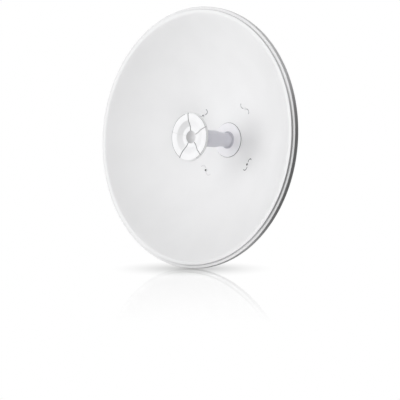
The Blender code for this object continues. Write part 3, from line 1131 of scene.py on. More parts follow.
@dataclass(frozen=True)
class Rubber(Finish):
    """Dull moulded rubber with a pale bloom."""

    bloom: float = 1.15

    def surface(self, graph: Graph, at: Wire) -> dict[str, Value]:
        """Wire the bloom and the grain.

        Args:
            graph: the material's nodes.
            at: the point in the piece's own space.

        Returns:
            The shader's inputs.
        """
        bloom = graph.noise(at, 300, 5, 0.6).step(0.4, 0.8)
        return {
            "Base Color": self.tinted(graph, bloom, self.bloom),
            "Roughness": self.roughness + bloom * 0.1,
            "Normal": graph.bump(graph.noise(at, 2400, 3), 0.3, 0.03),
        }


BOWL_WHITE = PowderCoat("bowl_powder_coat", "bowl_paint", (0.8, 0.8, 0.805), 0.5)
CAP_WHITE = MouldedPlastic("white_moulding", "white_plastic", (0.82, 0.82, 0.83), 0.36)
CAP_FACE = CapFace("white_cap_moulding", "white_plastic", (0.84, 0.84, 0.85), 0.36)
FLANGE_WHITE = MouldedPlastic("pale_moulding", "white_plastic", (0.81, 0.805, 0.83), 0.42)
PLUG_GREY = SideShadedPlastic("grey_moulding", "grey_plastic", (0.82, 0.815, 0.83), 0.38)
TUBE_GREY = MouldedPlastic("violet_grey_moulding", "grey_plastic", (0.635, 0.63, 0.68), 0.4)
ZINC = Galvanised("hot_dip_zinc", "galvanised", (0.62, 0.63, 0.65), 0.34, 1.0)
BRIGHT_ZINC = PlatedSteel("bright_zinc", "galvanised", (0.66, 0.67, 0.69), 0.24, 1.0)
SCREW = ScrewHead("painted_screw", "galvanised", (0.78, 0.78, 0.79), 0.4)
CAST = CastMetal("sand_cast_aluminium", "cast_metal", (0.6, 0.6, 0.62), 0.42, 1.0)
BRASS = PlatedSteel("turned_brass", "brass", (0.8, 0.63, 0.34), 0.22, 1.0)
# painted shade along the cap's edge
EDGE_SHADE = Rubber("grey_trim", "grey_plastic", (0.32, 0.32, 0.335), 0.6)
# black rubber for the lid's gasket and, round the feed's flange, for painted shade along its
# edge
BLACK_SEAL_AND_SHADE = Rubber("black_rubber", "grey_plastic", (0.03, 0.03, 0.032), 0.7)
# collar at the tube's foot, coloured dark as painted shade
FOOT_SHADE = Rubber("violet_foot_shade", "grey_plastic", (0.45, 0.445, 0.49), 0.6)
# painted shade in the bowl's slots: a pale, a grey and a dark tone
PALE_SLOT_SHADE = Rubber("pale_slot_shade", "grey_plastic", (0.66, 0.66, 0.67), 0.6)
SLOT_SHADE = Rubber("grey_slot_shade", "grey_plastic", (0.26, 0.26, 0.275), 0.6)
DARK_SLOT_SHADE = Rubber("dark_slot_shade", "grey_plastic", (0.05, 0.05, 0.055), 0.6)


# ---- sub-assemblies


class Assembly:
    """A group of pieces that are fitted to the frame and reported."""

    title: ClassVar[str] = "assembly"

    def build(self) -> None:
        """Make the group's pieces."""
        raise NotImplementedError

    def fit(
        self,
        name: str,
        mesh: bpy.types.Mesh,
        finish: Finish,
        place: Matrix | None = None,
        stands_for: str | None = None,
    ) -> None:
        """Link a piece, dress it and let it ride on the frame.

        Args:
            name: the piece's name.
            mesh: its mesh, in metres.
            finish: its finish.
            place: where it goes.
            stands_for: the CAD node it replaces.
        """
        mesh.materials.clear()
        mesh.materials.append(finish.material())
        piece = bpy.data.objects.new(name, mesh)
        bpy.context.scene.collection.objects.link(piece)
        if place is not None:
            piece.matrix_world = place
        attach(piece, ROOT)
        if stands_for:
            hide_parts(stands_for)
        log.info("%s: %s, %d faces, %s", self.title, name, len(mesh.polygons), finish.name)


@dataclass
class Dish:
    """The bowl's form: one paraboloid that the other groups are set on."""

    vertex_y: float = -86
    four_f: float = 713
    metal: float = 1.5
    hub_r: float = 46
    bolt_r: float = 99.4
    bolt_band: float = 10
    bolt_turns: tuple[int, ...] = (45, 135, 225, 315)
    bolt_hole_r: float = 2.3

    def height(self, radius: float) -> float:
        """Height of the front surface over the vertex."""
        return radius * radius / self.four_f

    @property
    def hub_h(self) -> float:
        """Height of the flat hub."""
        return self.height(self.hub_r)

    @property
    def hub_back(self) -> float:
        """Height just behind the hub's sheet."""
        return self.hub_h - self.metal - GAP

    @property
    def seat_h(self) -> float:
        """Height of the flat-sided band that the bolts sit on."""
        return (self.bolt_r**2 + self.bolt_band**2) / self.four_f

    @property
    def bolt_slope(self) -> float:
        """Slope of that band, in radians."""
        return math.atan(2 * self.bolt_r / self.four_f)

    def frame(self) -> Matrix:
        """Matrix of the dish frame."""
        return moved(y=self.vertex_y) @ spun(90, "X")

    def bolt_frame(self, turn: float) -> Matrix:
        """World matrix on the surface at a bolt: X tangent, Y outward, Z along the normal."""
        out = spun(turn - 90, "Z") @ moved(y=self.bolt_r, z=self.seat_h)
        return self.frame() @ out @ spun(math.degrees(self.bolt_slope), "X")

    def bolt_hole(self) -> Loop:
        """Outline of a bolt's hole, in its frame."""
        return circle(self.bolt_hole_r, count=24)


@dataclass
class Bowl(Assembly):
    """Drawn bowl with a rolled rim, a turned-back hem and slots round its bolts."""

    title: ClassVar[str] = "bowl"
    dish: Dish
    hole_r: float = 18.4
    lip_r: float = 306
    hem_h: float = 117.4
    step_rise: float = 11
    crest_rise: float = 16
    segments: int = 288
    slot_width: float = 2.2
    strip_play: float = 0.06
    strip_sunk: float = 0.2
    slot_arm: Loop = field(
        default_factory=lambda: [
            (4.8, 3.2), (7, 4.4), (9.8, 5.2), (12.6, 5.1),
            (15, 4), (16.7, 2.1), (17.6, -0.2), (17.9, -2.8),
        ]
    )

    def profile(self) -> Loop:
        """Draw the front line of the sheet.

        Returns:
            (radius, height) points from the hub's hole to the hem's edge.
        """
        dish, crest, step = self.dish, self.hem_h + self.crest_rise, self.hem_h + self.step_rise
        band = (dish.bolt_r - dish.bolt_band, dish.bolt_r + dish.bolt_band)
        radii = [*np.linspace(dish.hub_r, band[0], 8), *np.linspace(band[1], self.lip_r, 34)]
        line = [(self.hole_r, dish.hub_h)] + [(r, dish.height(r)) for r in radii]
        rim = [
            line[-1], (309, crest - 0.3), (312, crest), (CREST_R, crest),
            (CREST_R, step), (RIM_R, step), (RIM_R, self.hem_h),
        ]
        return line[:-1] + fillet(rim, (0, 2.5, 2, 1.9, 1.6, 1.5, 0), closed=False)

    def build(self) -> None:
        """Spin the sheet, cut the slots and the bolt holes, then fill the slots with strips of
        painted shade.
        """
        dish = self.dish
        blank = Blank(lathe(sheet(self.profile(), dish.metal), self.segments), dish.frame())
        for turn in dish.bolt_turns:
            place = dish.bolt_frame(turn)
            for side in (1, -1):
                blank.punch(ribbon(self.arm(turn, side), self.slot_width), BOWL_CUT, place)
            blank.punch(dish.bolt_hole(), BOWL_CUT, place)
        self.fit("bowl_shell", blank.made(), BOWL_WHITE, stands_for="reflector")
        for index, turn in enumerate(dish.bolt_turns, 1):
            # each slot's strip is painted shade, lighter or darker slot by slot
            finish = {225: PALE_SLOT_SHADE, 315: DARK_SLOT_SHADE}.get(turn, SLOT_SHADE)
            self.fit(f"slot_strip_{index}", self.strip(turn), finish)

    def strip(self, turn: float) -> bpy.types.Mesh:
        """Mould the strip that fills both arms of one slot, coloured as painted shade.

        Args:
            turn: the bolt's turn round the dish, in degrees.

        Returns:
            The mesh, in place just under the surface.
        """
        dish, width = self.dish, self.slot_width - self.strip_play
        band = np.linspace(dish.bolt_r - dish.bolt_band, dish.bolt_r + dish.bolt_band, 3)
        line = offset([(r, dish.height(r)) for r in band], self.strip_sunk)
        first, second = (
            plate([ribbon(self.arm(turn, side), width)], -BOWL_CUT, BOWL_CUT)
            for side in (1, -1)
        )
        place = dish.bolt_frame(turn)
        ring = lathe(sheet(line, dish.metal - 2 * self.strip_sunk), self.segments)
        solid = Blank(first).join(second).keep(ring, place.inverted() @ dish.frame())
        mesh = solid.made()
        mesh.transform(place)
        return mesh

    def arm(self, turn: float, side: int) -> Loop:
        """Middle line of one arm of the slot at a bolt."""
        hand = side * math.copysign(1, math.cos(math.radians(turn)))
        return [(side * x, hand * y) for x, y in self.slot_arm]


@dataclass
class Feed(Assembly):
    """Feed on the bowl's axis: flange, tube, cap with seams, plug and back shell."""

    title: ClassVar[str] = "feed"
    dish: Dish
    base_r: float = 17.8
    tube_r: float = 20.8
    tube_wall: float = 2.5
    tube_top: float = 133
    cone: Point = (33, 54)
    tube_foot: float = -9
    cap_r: float = 60.3
    cap_h: float = 148.8
    cap_wall: float = 3.2
    dimple_r: float = 15.5
    dimple_sunk: float = 6.9
    flange_r: float = 43.3
    flange_h: float = 2
    seams: tuple[float, ...] = (1, 0.2, 1, 1, 0.8)
    seam_width: float = 1.9
    seam_depth: float = 2.4
    seam_section: tuple[Point, ...] = (
        (-1.45, 0), (-1.0, 0.12), (-0.72, 1), (0.72, 1), (1.0, 0.12), (1.45, 0),
    )
    plain_columns: int = 40
    # two arcs of painted shade at the cap's edge
    trim_r: float = 58.4
    trim_width: float = 1.2
    shade_arcs: tuple[Point, ...] = ((168, 66), (-8, 61))
    face: Loop = field(
        default_factory=lambda: [
            (17, 6.5), (20.5, 6.6), (24, 6.6), (27, 6.1), (31, 4.6),
            (35, 2.9), (39, 1.3), (42, 0.5), (46, 0.1), (52, 0), (57.5, 0),
        ]
    )

    def build(self) -> None:
        """Make the pieces from the bowl's hub outwards."""
        place = self.dish.frame()
        self.fit("feed_base_flange", self.flange(), FLANGE_WHITE, place, "feed_flange")
        # painted shade round the flange's edge
        self.fit("feed_base_shade_ring", self.shade_ring(), BLACK_SEAL_AND_SHADE, place)
        # painted shade at the tube's foot
        self.fit("feed_tube_shaded_collar", self.shaded_collar(), FOOT_SHADE, place)
        self.fit("feed_mast_tube", self.tube(), TUBE_GREY, place, "feed_tube")
        self.fit("feed_cap_face", self.cap(), CAP_FACE, place, "feed_cap")
        # painted shade along the cap's edge, in two arcs
        for index, (middle, half) in enumerate(self.shade_arcs, 1):
            self.fit(f"feed_cap_trim_{index}", self.trim(middle, half), EDGE_SHADE, place)
        self.fit("feed_cap_back", self.shell(), CAP_WHITE, place, "feed_cap_shell")
        self.fit("feed_cap_dimple", self.dimple(), PLUG_GREY, place, "feed_cap_plug")

    def flange(self) -> bpy.types.Mesh:
        """Mould the flat disc that seals the tube's foot to the hub.

        Returns:
            The mesh, in the dish frame.
        """
        low, inner = self.dish.hub_h + GAP, self.base_r + GAP
        high = low + self.flange_h
        corners = [(inner, high), (self.flange_r, high), (self.flange_r, low), (inner, low)]
        return lathe(fillet(corners, (0.3, 0.9, 0.1, 0.1)), 160)

    def shade_ring(self) -> bpy.types.Mesh:
        """Thin black ring round the flange's edge: painted shade along the edge."""
        low, inner, outer = self.dish.hub_h + 0.05, self.flange_r + 0.05, self.flange_r + 0.75
        return lathe([(inner, low), (inner, low + 0.9), (outer, low + 0.7), (outer, low)], 160)

    def shaded_collar(self) -> bpy.types.Mesh:
        """Mould the collar round the tube's foot, on the flange, coloured dark as painted shade
        at the foot.

        Returns:
            The mesh, in the dish frame.
        """
        low, inner = self.dish.hub_h + GAP + self.flange_h + 0.05, self.base_r + 0.15
        corners = [(inner, low), (inner, low + 4), (inner + 1.2, low + 4), (inner + 4.2, low)]
        return lathe(fillet(corners, (0, 0.4, 1, 0.4), 3), 128)

    def tube(self) -> bpy.types.Mesh:
        """Turn the tube, which widens in one cone on its way to the cap.

        Returns:
            The mesh, in the dish frame.
        """
        wide = [(self.tube_r, self.tube_top), (self.tube_r, self.cone[1])]
        outer = [*wide, (self.base_r, self.cone[0]), (self.base_r, self.tube_foot)]
        return lathe(sheet(fillet(outer, (0, 8, 8, 0), 6, closed=False), self.tube_wall), 128)

    def front_line(self) -> list[Point3]:
        """Draw the cap's section.

        Returns:
            (radius, height, share of the seams' depth) points round the section.
        """
        inner, edge, h = self.dimple_r + GAP, self.cap_r, self.cap_h
        top = [(r, h - d) for r, d in self.face]
        groove = [(57.65, 0.3), (57.7, 2.2), (59.1, 2.2), (59.15, 0.3), (59.4, 0.1)]
        rim = [(edge - 0.2, 0.3), (edge, 0.8), (edge, 2.9), (edge - 0.5, 3.4)]
        outside = [(r, h - d) for r, d in groove + rim] + offset(top, self.cap_wall)[::-1]
        seamed = [(inner, h - self.dimple_sunk)] + smooth_line(top)
        return [
            (inner, h - 12, 0.0),
            *((r, z, 1.0) for r, z in seamed),
            *((r, z, 0.0) for r, z in outside),
        ]

    def columns(self, radius: float) -> list[Point]:
        """Set out one ring of the cap, close together at the seams.

        Args:
            radius: the ring's radius.

        Returns:
            (turn in radians, share of the seams' depth) pairs.
        """
        half = self.seam_width / 2
        reach = self.seam_section[-1][0] * half / radius
        count, spans = len(self.seams), self.plain_columns + 1
        made: list[Point] = []
        for k, deep in enumerate(self.seams):
            start = math.radians(90 + 360 * k / count)
            stop = start + 2 * math.pi / count
            made += [(start + t * half / radius, d * deep) for t, d in self.seam_section]
            for part in (j / spans for j in range(1, spans)):
                made.append(((start + reach) * (1 - part) + (stop - reach) * part, 0))
        return made

    def cap(self) -> bpy.types.Mesh:
        """Mould the saucer, with radial seams as real grooves across its face.

        Returns:
            The mesh, in the dish frame.
        """
        line = self.front_line()
        rings = []
        for i, (radius, height, share) in enumerate(line):
            before, after = line[i - 1], line[(i + 1) % len(line)]
            along = Vector((after[0] - before[0], after[1] - before[1])).normalized()
            inward = Vector((along.y, -along.x))
            ring = []
            for turn, depth in self.columns(radius):
                sink = depth * share * self.seam_depth
                r, h = radius + inward.x * sink, height + inward.y * sink
                ring.append((r * math.cos(turn) * MM, r * math.sin(turn) * MM, h * MM))
            rings.append(ring)
        return skin(rings, crease=38)

    def trim(self, middle: float, half: float) -> bpy.types.Mesh:
        """Strip in the groove at the cap's edge, dark as painted shade along the edge."""
        outline = arc_slot((0, 0), self.trim_r, self.trim_width, middle, half)
        return plate([outline], self.cap_h - 2.1, self.cap_h - 0.4, 0.2)

    def shell(self) -> bpy.types.Mesh:
        """Mould the back of the saucer with the sleeve that grips the tube.

        Returns:
            The mesh, in the dish frame.
        """
        sleeve, edge = self.tube_r + GAP, self.cap_r
        front = [
            (sleeve, 34), (sleeve, 18), (28, 16.6), (37, 13.2), (47, 9.6), (55.5, 5.6),
            (58.8, 3.7), (edge, 3.7), (edge, 4.9),
        ]
        back = [(57, 7), (48, 11.5), (38, 15.2), (29, 18.8), (24.8, 25), (23.8, 34)]
        front, back = ([(r, self.cap_h - d) for r, d in line] for line in (front, back))
        return lathe(front + smooth_line(back), 160)

    def dimple(self) -> bpy.types.Mesh:
        """Mould the concave plug in the middle of the cap.

        Returns:
            The mesh, in the dish frame.
        """
        top, edge = self.cap_h - self.dimple_sunk, self.dimple_r
        bowl = [(0, top - 6.7), (4.5, top - 6.2), (9.5, top - 3.8), (14, top - 0.6)]
        rest = [
            (14.5, top), (15.1, top + 0.1), (edge, top - 0.4), (edge, top - 5),
            (12, top - 8.2), (0, top - 8.2),
        ]
        return lathe(smooth_line(bowl) + rest, closed=False)


@dataclass
class FeedRear(Assembly):
    """Behind the hub: notched lock ring, cast housing with its lid, and two connectors."""

    title: ClassVar[str] = "feed rear"
    dish: Dish
    tube_r: float = 17.8
    ring_r: float = 32
    ring_low: float = -9
    chamfer: float = 3
    notches: int = 10
    notch: Point = (2.6, 3.2)
    box: float = 64
    depth: float = 46
    corner: float = 5
    lid: float = 9
    fins: int = 7
    fin_pitch: float = 7.6
    fin_gap: Point = (1.9, 2.2)
    screw_inset: float = 7
    screw_well: Point = (3.6, 4.2)
    connector_x: float = 16
    barrel_r: float = 4.5
    barrel_length: float = 18

    @property
    def back(self) -> float:
        """Dish-frame height of the housing's back."""
        return self.ring_low - GAP - self.depth

    def square(self, inset: float = 0, tighter: float = 0) -> Loop:
        """Outline of the housing, or of something inside it with tighter corners."""
        half = self.box / 2 - inset
        return box_outline((-half, -half), (half, half), self.corner - tighter)

    def build(self) -> None:
        """Make the pieces from the hub backwards."""
        place = self.dish.frame()
        self.fit("lock_ring", self.ring(), CAST, place, "feed_lock_ring")
        self.fit("housing_body", self.body(), CAST, place, "feed_housing")
        low = self.back + self.lid
        self.fit("housing_shade_ring", plate([self.square(1.2)], low, low + 1), BLACK_SEAL_AND_SHADE, place)
        self.fit("housing_lid", self.cover(), CAST, place)
        self.lid_screws(place)
        for side in Side:
            self.connector(side)

    def ring(self) -> bpy.types.Mesh:
        """Turn the chamfered ring, with notches for a hook spanner.

        Returns:
            The mesh, in the dish frame.
        """
        high, low, chamfer = self.dish.hub_back, self.ring_low, self.chamfer
        inner, outer = self.tube_r + GAP, self.ring_r
        corners = [
            (inner, high), (outer, high), (outer, low + chamfer),
            (outer - chamfer, low), (inner, low),
        ]
        blank = Blank(lathe(fillet(corners, (0.3, 0.6, 0.6, 0.6, 0.5), 3), 120))
        half, deep = self.notch
        notch = box_outline((outer - deep, -half), (outer + 3, half), 0.7)
        for i in range(self.notches):
            turn = spun(360 * (i + 0.5) / self.notches, "Z")
            blank.cut(plate([notch], low - 1, high - 2.2), turn)
        return blank.made(0.3)

    def body(self) -> bpy.types.Mesh:
        """Cast the housing, with shallow fins on top.

        Returns:
            The mesh, in the dish frame.
        """
        half, high = self.box / 2, self.ring_low - GAP
        low = self.back + self.lid + 1
        blank = Blank(plate([self.square()], low, high, 1.6))
        wide, deep = self.fin_gap
        for i in range(self.fins):
            x = (i - self.fins // 2) * self.fin_pitch
            groove = box_outline((x - wide, half - deep), (x + wide, half + PAST), 0.9)
            blank.cut(plate([groove], low - 1, high - 5))
        return blank.made()

    def cover(self) -> bpy.types.Mesh:
        """Cast the lid, with a raised panel and counterbores.

        Returns:
            The mesh, in the dish frame.
        """
        back, (well_r, floor) = self.back, self.screw_well
        blank = Blank(plate([self.square()], back + 1.4, back + self.lid, 1.2))
        blank.join(plate([self.square(13, 1)], back, back + 4, 0.8))
        for spot in self.screw_spots():
            blank.cut(plate([circle(well_r, spot)], back - 1, back + floor))
        return blank.made()

    def screw_spots(self) -> Loop:
        """Centres of the lid's screws."""
        far = self.box / 2 - self.screw_inset
        return [(x, y) for x in (-far, far) for y in (-far, far)]

    def lid_screws(self, place: Matrix) -> None:
        """Fit a socket screw in each counterbore of the lid.

        Args:
            place: the dish frame.
        """
        for index, (x, y) in enumerate(self.screw_spots(), 1):
            head = [(0, 4), (2.5, 4), (3.1, 3.4), (3.1, 0.2), (2, 0.2), (2, -2), (0, -2)]
            blank = Blank(lathe(head, 32, closed=False))
            blank.cut(plate([circle(1.6, count=6)], 2, 6))
            floor = moved(x, y, self.back + self.screw_well[1])
            spot = place @ floor @ spun(180, "X") @ moved(z=-0.2)
            self.fit(f"lid_screw_{index}", blank.made(0.15), BRIGHT_ZINC, spot)

    def connector(self, side: Side) -> None:
        """Fit one connector: hexagon base, threaded barrel, insulator and pin.

        Args:
            side: the side it is on.
        """
        name, r, long = side.word, self.barrel_r, self.barrel_length
        y = self.dish.vertex_y - self.ring_low + GAP + self.depth / 2
        spot = moved(side.value * self.connector_x, y, -self.box / 2 - GAP)
        top = [(0, 0), (7, 0), (7, -2.6), (6.2, -3), (r - 0.5, -3), (r - 0.5, -4), (r, -4.5)]
        inside = [(r - 1, -long), (r - 1, -9), (0, -9)]
        barrel = thread(top, r, -4.5, -long + 0.4, 0.9, inside, flats_above=-3.1)
        self.fit(f"connector_{name}", barrel, BRASS, spot, f"coax_connector_{name}")
        core = [(0.75, -10.5), (r - 1.1, -10.5), (r - 1.1, -9.1), (0.75, -9.1)]
        self.fit(f"insulator_{name}", lathe(core, 32), CAP_WHITE, spot)
        pin = [(0, -9.1), (0.7, -9.1), (0.7, -14.4), (0.4, -15), (0, -15)]
        self.fit(f"pin_{name}", lathe(pin, 16, closed=False), BRASS, spot)


@dataclass
class BowlScrews(Assembly):
    """Screws through the bowl, with nuts behind the bracket's pads."""

    title: ClassVar[str] = "bowl screws"
    dish: Dish
    sockets: dict[int, float] = field(default_factory=lambda: {135: 1.75, 225: 2.3, 315: 2.9})
    head_r: float = 4
    head_h: float = 2.2
    socket_low: float = 0.9
    shank_r: float = 2
    length: float = 13
    pitch: float = 0.7
    nut_r: float = 4.04
    nut_h: float = 3.2
    plate: float = 3

    def build(self) -> None:
        """Fit a screw and a nut at each hole."""
        depth = self.dish.metal + GAP + self.plate + GAP
        nut = Nut(self.nut_r, self.shank_r + GAP, self.nut_h, foot=0)
        for index, turn in enumerate(self.dish.bolt_turns, 1):
            socket = self.sockets.get(turn, 0)
            finish = replace(SCREW, name=f"painted_screw_{index}", socket_r=socket)
            hole = self.dish.bolt_frame(turn)
            front, back = hole @ moved(z=GAP), hole @ moved(z=-depth) @ spun(180, "X")
            self.fit(f"bowl_screw_{index}", self.screw(socket), finish, front,
                     f"bowl_bolt_{index}")
            self.fit(f"screw_nut_{index}", nut.mesh(), BRIGHT_ZINC, back, f"bowl_nut_{index}")

    def screw(self, socket: float) -> bpy.types.Mesh:
        """Make one screw.

        Args:
            socket: radius of its hexagon socket, or 0.

        Returns:
            The mesh, with its head on height 0.
        """
        r = self.shank_r
        top = [*domed(self.head_r, self.head_h), (r, 0)]
        blank = Blank(thread(top, r, -1, -self.length + 0.6, self.pitch))
        if socket:
            blank.cut(plate([circle(socket, count=6)], self.socket_low, 4))
        return blank.made()


@dataclass
class MountSizes:
    """What the two brackets, the clamps and their bolts share."""

    metal: float = 3
    bend: float = 4.5
    inner_bend: float = 1.5
    ear_x: float = 55.3
    half_h: float = 62
    pivot: Point = (-38, -38)
    tilt_z: float = 38
    bolt_r: float = 4
    clamp_x: float = 40
    clamp_z: float = 32
    mast_y: float = 37
    mast_r: float = 25
    tooth: float = 2.5
    jaw_half: float = 34
    jaw_floor: float = 4

    @property
    def side_x(self) -> float:
        """Outer face of the mast bracket's side plates."""
        return self.ear_x - self.metal - GAP

    def hole(self, centre: Point) -> Loop:
        """Outline of a clearance hole."""
        return circle(self.bolt_r + GAP, centre, 40)

    def jaw(self, base: float, tip: float) -> Loop:
        """Outline of a jaw whose notched V grips the mast.

        Args:
            base: where it meets its web.
            tip: where its two points end.

        Returns:
            The outline in plan.
        """
        way, flat, half = (1 if tip > base else -1), self.jaw_floor, self.jaw_half
        floor = self.mast_y - way * self.mast_r * math.sqrt(2) + way * flat
        depth = abs(tip - floor)
        count = int(depth / self.tooth)
        steps: Loop = []
        for i in range(count + 1):
            back = i * depth / count
            steps.append((flat + back, floor + way * back))
            if i < count:
                steps.append((flat + back + 0.5 * self.tooth + 1.3, floor + way * (back + 0.6)))
        mirrored = [(-x, y) for x, y in steps]
        corners = [(-half, tip), (-half, base), (half, base), (half, tip)]
        return mirrored + corners + steps[::-1]


@dataclass
class DishBracket(Assembly):
    """Bent channel behind the hub, with ribbed arms out to the screws and slotted ears."""

    title: ClassVar[str] = "dish bracket"
    dish: Dish
    sizes: MountSizes
    ear_back: float = -20
    ear_inset: float = 4
    ring_hole_r: float = 36
    arm_half: float = 14
    arm_line: Point = (50, 74)
    pad: Point = (14, 12)
    pad_round: float = 9
    rib_span: Point = (54, 90)
    rib_half: float = 4.5
    rib_rise: float = 1
    arc_half: float = 12
    ticks: int = 13
    tick_width: float = 0.7
    tick_depth: float = 0.35
    earth_yz: Point = (-68, -40)
    washer_r: Point = (4.9, 5.6)
    washer_teeth: int = 16

    @property
    def front_y(self) -> float:
        """Where the plate's front face lies."""
        return self.dish.vertex_y - self.dish.hub_back

    def build(self) -> None:
        """Make the bracket, then its earthing screw on a toothed washer."""
        self.fit("dish_bracket", self.bracket(), ZINC, stands_for="reflector_bracket")
        place = moved(-self.sizes.ear_x, *self.earth_yz) @ spun(-90, "Y")
        head = thread([*domed(4.2, 2.6), (2.5, 0)], 2.5, -0.4, -7, 0.8)
        blank = Blank(head).cut(plate([box_outline((-5, -0.5), (5, 0.5))], 1.4, 4))
        self.fit("earth_screw", blank.made(), BRASS, place @ moved(z=1.2))
        teeth = range(2 * self.washer_teeth)
        star = [polar(self.washer_r[k % 2], math.pi * k / self.washer_teeth) for k in teeth]
        self.fit("earth_washer", plate([star, circle(2.7)], 0.1, 1.1, 0.15), BRIGHT_ZINC, place)

    def bracket(self) -> bpy.types.Mesh:
        """Make the channel, the arms and what is cut into them.

        Returns:
            The mesh, in place.
        """
        sizes, front = self.sizes, self.front_y
        x, thin, ear = sizes.ear_x, sizes.metal, self.ear_back
        section = [
            (-x, ear), (-x, front), (x, front), (x, ear),
            (x - thin, ear), (x - thin, front + thin), (thin - x, front + thin), (thin - x, ear),
        ]
        bend, inner = sizes.bend, sizes.inner_bend
        channel = fillet(section, (0.6, bend, bend, 0.6, 0.6, inner, inner, 0.6))
        blank = Blank(plate([channel], -sizes.half_h, sizes.half_h, 0.5))
        for turn in self.dish.bolt_turns:
            self.add_arm(blank, turn)
        blank.cut(plate([circle(self.ring_hole_r, count=96)], front - 5, front + 9), AS_XZ_BACK)
        for level in Level:
            self.trim_end(blank, level.value)
        self.cut_tilt(blank)
        return blank.made(crease=20)

    def trim_end(self, blank: Blank, end: int) -> None:
        """Cut the ears shorter than the plate at one end and round the corners.

        Args:
            blank: the bracket.
            end: sign of the end.
        """
        x, high = self.sizes.ear_x, self.sizes.half_h
        front, ear, inset = self.front_y, self.ear_back, self.ear_inset
        step = box_outline((-x - PAST, front + 8), (x + PAST, ear + PAST), 1.5)
        blank.cut(plate([step], *sorted((end * (high - inset), end * (high + inset)))))
        corner = waste((ear, end * (high - inset)), (-1, -end), 10)
        blank.punch(corner, x + PAST, AS_YZ)
        for side in (-1, 1):
            corner = waste((side * x, end * high), (-side, -end), 6)
            blank.cut(plate([corner], -front - 10, -front + PAST), AS_XZ)

    def cut_tilt(self, blank: Blank) -> None:
        """Cut the pivot's hole, the tilt slot and the scale beside it.

        Args:
            blank: the bracket.
        """
        sizes, pivot = self.sizes, self.sizes.pivot
        x, reach = sizes.ear_x, sizes.tilt_z - pivot[1]
        slot = arc_slot(pivot, reach, 2 * (sizes.bolt_r + GAP), 90, self.arc_half)
        for outline in (sizes.hole(pivot), slot):
            blank.punch(outline, x + PAST, AS_YZ)
        for i in range(self.ticks):
            turn = math.radians(90 + self.arc_half * (2 * i / (self.ticks - 1) - 1))
            long = 6 if i % 3 == 0 else 3.4
            ends = [polar(r, turn, pivot) for r in (reach - 7 - long, reach - 7)]
            mark = ribbon(ends, self.tick_width)
            blank.cut(plate([mark], x - self.tick_depth, x + 1), AS_YZ)
            blank.cut(plate([mark], -x - 1, -x + self.tick_depth), AS_YZ)

    def add_arm(self, blank: Blank, turn: float) -> None:
        """Join one arm: a bent strip with a pressed rib, and its rounded pad.

        Args:
            blank: the bracket.
            turn: the arm's turn round the dish, in degrees.
        """
        dish, half, metal = self.dish, self.arm_half, self.sizes.metal
        slope = dish.bolt_slope
        along = Vector((math.cos(slope), math.sin(slope)))
        normal = Vector((-math.sin(slope), math.cos(slope)))
        seat = Vector((dish.bolt_r, dish.seat_h)) - normal * (dish.metal + GAP)
        front = dish.hub_h - dish.metal - 2 * GAP
        line = [
            (self.arm_line[0], front), (self.arm_line[1], front),
            tuple(seat - along * self.pad[0]), tuple(seat + along * self.pad[1]),
        ]
        bent = fillet(line, (0, 8, 12, 0), 6, closed=False)
        plane = dish.frame() @ spun(turn, "Z") @ spun(90, "X")
        strip = Blank(plate([sheet(bent, metal)], -half, half, 0.5), plane)
        ridge = [p for p in bent if self.rib_span[0] < p[0] < self.rib_span[1]]
        rib = sheet(offset(ridge, self.rib_rise), metal + self.rib_rise)
        strip.join(plate([rib], -self.rib_half, self.rib_half, 0.8), plane)
        pad, depth = dish.bolt_frame(turn), (-14, 4)
        for side in (-1, 1):
            corner = waste((side * half, self.pad[1]), (-side, -1), self.pad_round)
            strip.cut(plate([corner], *depth), pad)
        blank.join(strip.made())
        blank.cut(plate([dish.bolt_hole()], *depth), pad)


@dataclass
class MastBracket(Assembly):
    """Channel with the mount face, toothed jaws at both ends and weld beads."""

    title: ClassVar[str] = "mast bracket"
    sizes: MountSizes
    side_front: float = -56
    side_half: float = 55
    jaw_tip: float = 30
    bead_x: float = 21
    bead_r: float = 1.7

    def build(self) -> None:
        """Make the bracket and the beads along its jaws."""
        self.fit("mast_channel", self.bracket(), ZINC, stands_for="mast_bracket")
        sizes = self.sizes
        for level in Level:
            z = level.value * (sizes.half_h - sizes.metal)
            for side in Side:
                ends = (side.value * self.bead_x, side.value * (sizes.jaw_half - 2))
                run = weld(*ends, self.bead_r, level.value)
                self.fit(f"weld_{level.word}_{side.word}", run, ZINC, moved(z=z))

    def bracket(self) -> bpy.types.Mesh:
        """Make the web, the side plates and the jaws, with their holes.

        Returns:
            The mesh, in place.
        """
        sizes, front = self.sizes, self.side_front
        x, thin, half = sizes.side_x, sizes.metal, sizes.half_h
        section = [
            (-x, front), (thin - x, front), (thin - x, -thin), (x - thin, -thin),
            (x - thin, front), (x, front), (x, 0), (-x, 0),
        ]
        bend, inner = sizes.bend, sizes.inner_bend
        channel = fillet(section, (0.6, 0.6, inner, inner, 0.6, 0.6, bend, bend))
        blank = Blank(plate([channel], -half, half, 0.5))
        for end in (-1, 1):
            low, high = sorted((end * half, end * (half - thin)))
            blank.join(plate([sizes.jaw(-1, self.jaw_tip)], low + 0.02, high - 0.02, 0.3))
            step = box_outline((-x - PAST, front - PAST), (x + PAST, -7), 1.5)
            blank.cut(plate([step], *sorted((end * self.side_half, end * (half + 4)))))
            blank.punch(waste((front, end * self.side_half), (1, -end), 9), x + PAST, AS_YZ)
        for spot in [(a * sizes.clamp_x, b * sizes.clamp_z) for a in (-1, 1) for b in (-1, 1)]:
            blank.cut(plate([sizes.hole(spot)], -3, 6), AS_XZ)
        for z in (sizes.pivot[1], sizes.tilt_z):
            blank.punch(sizes.hole((sizes.pivot[0], z)), x + PAST, AS_YZ)
        return blank.made()


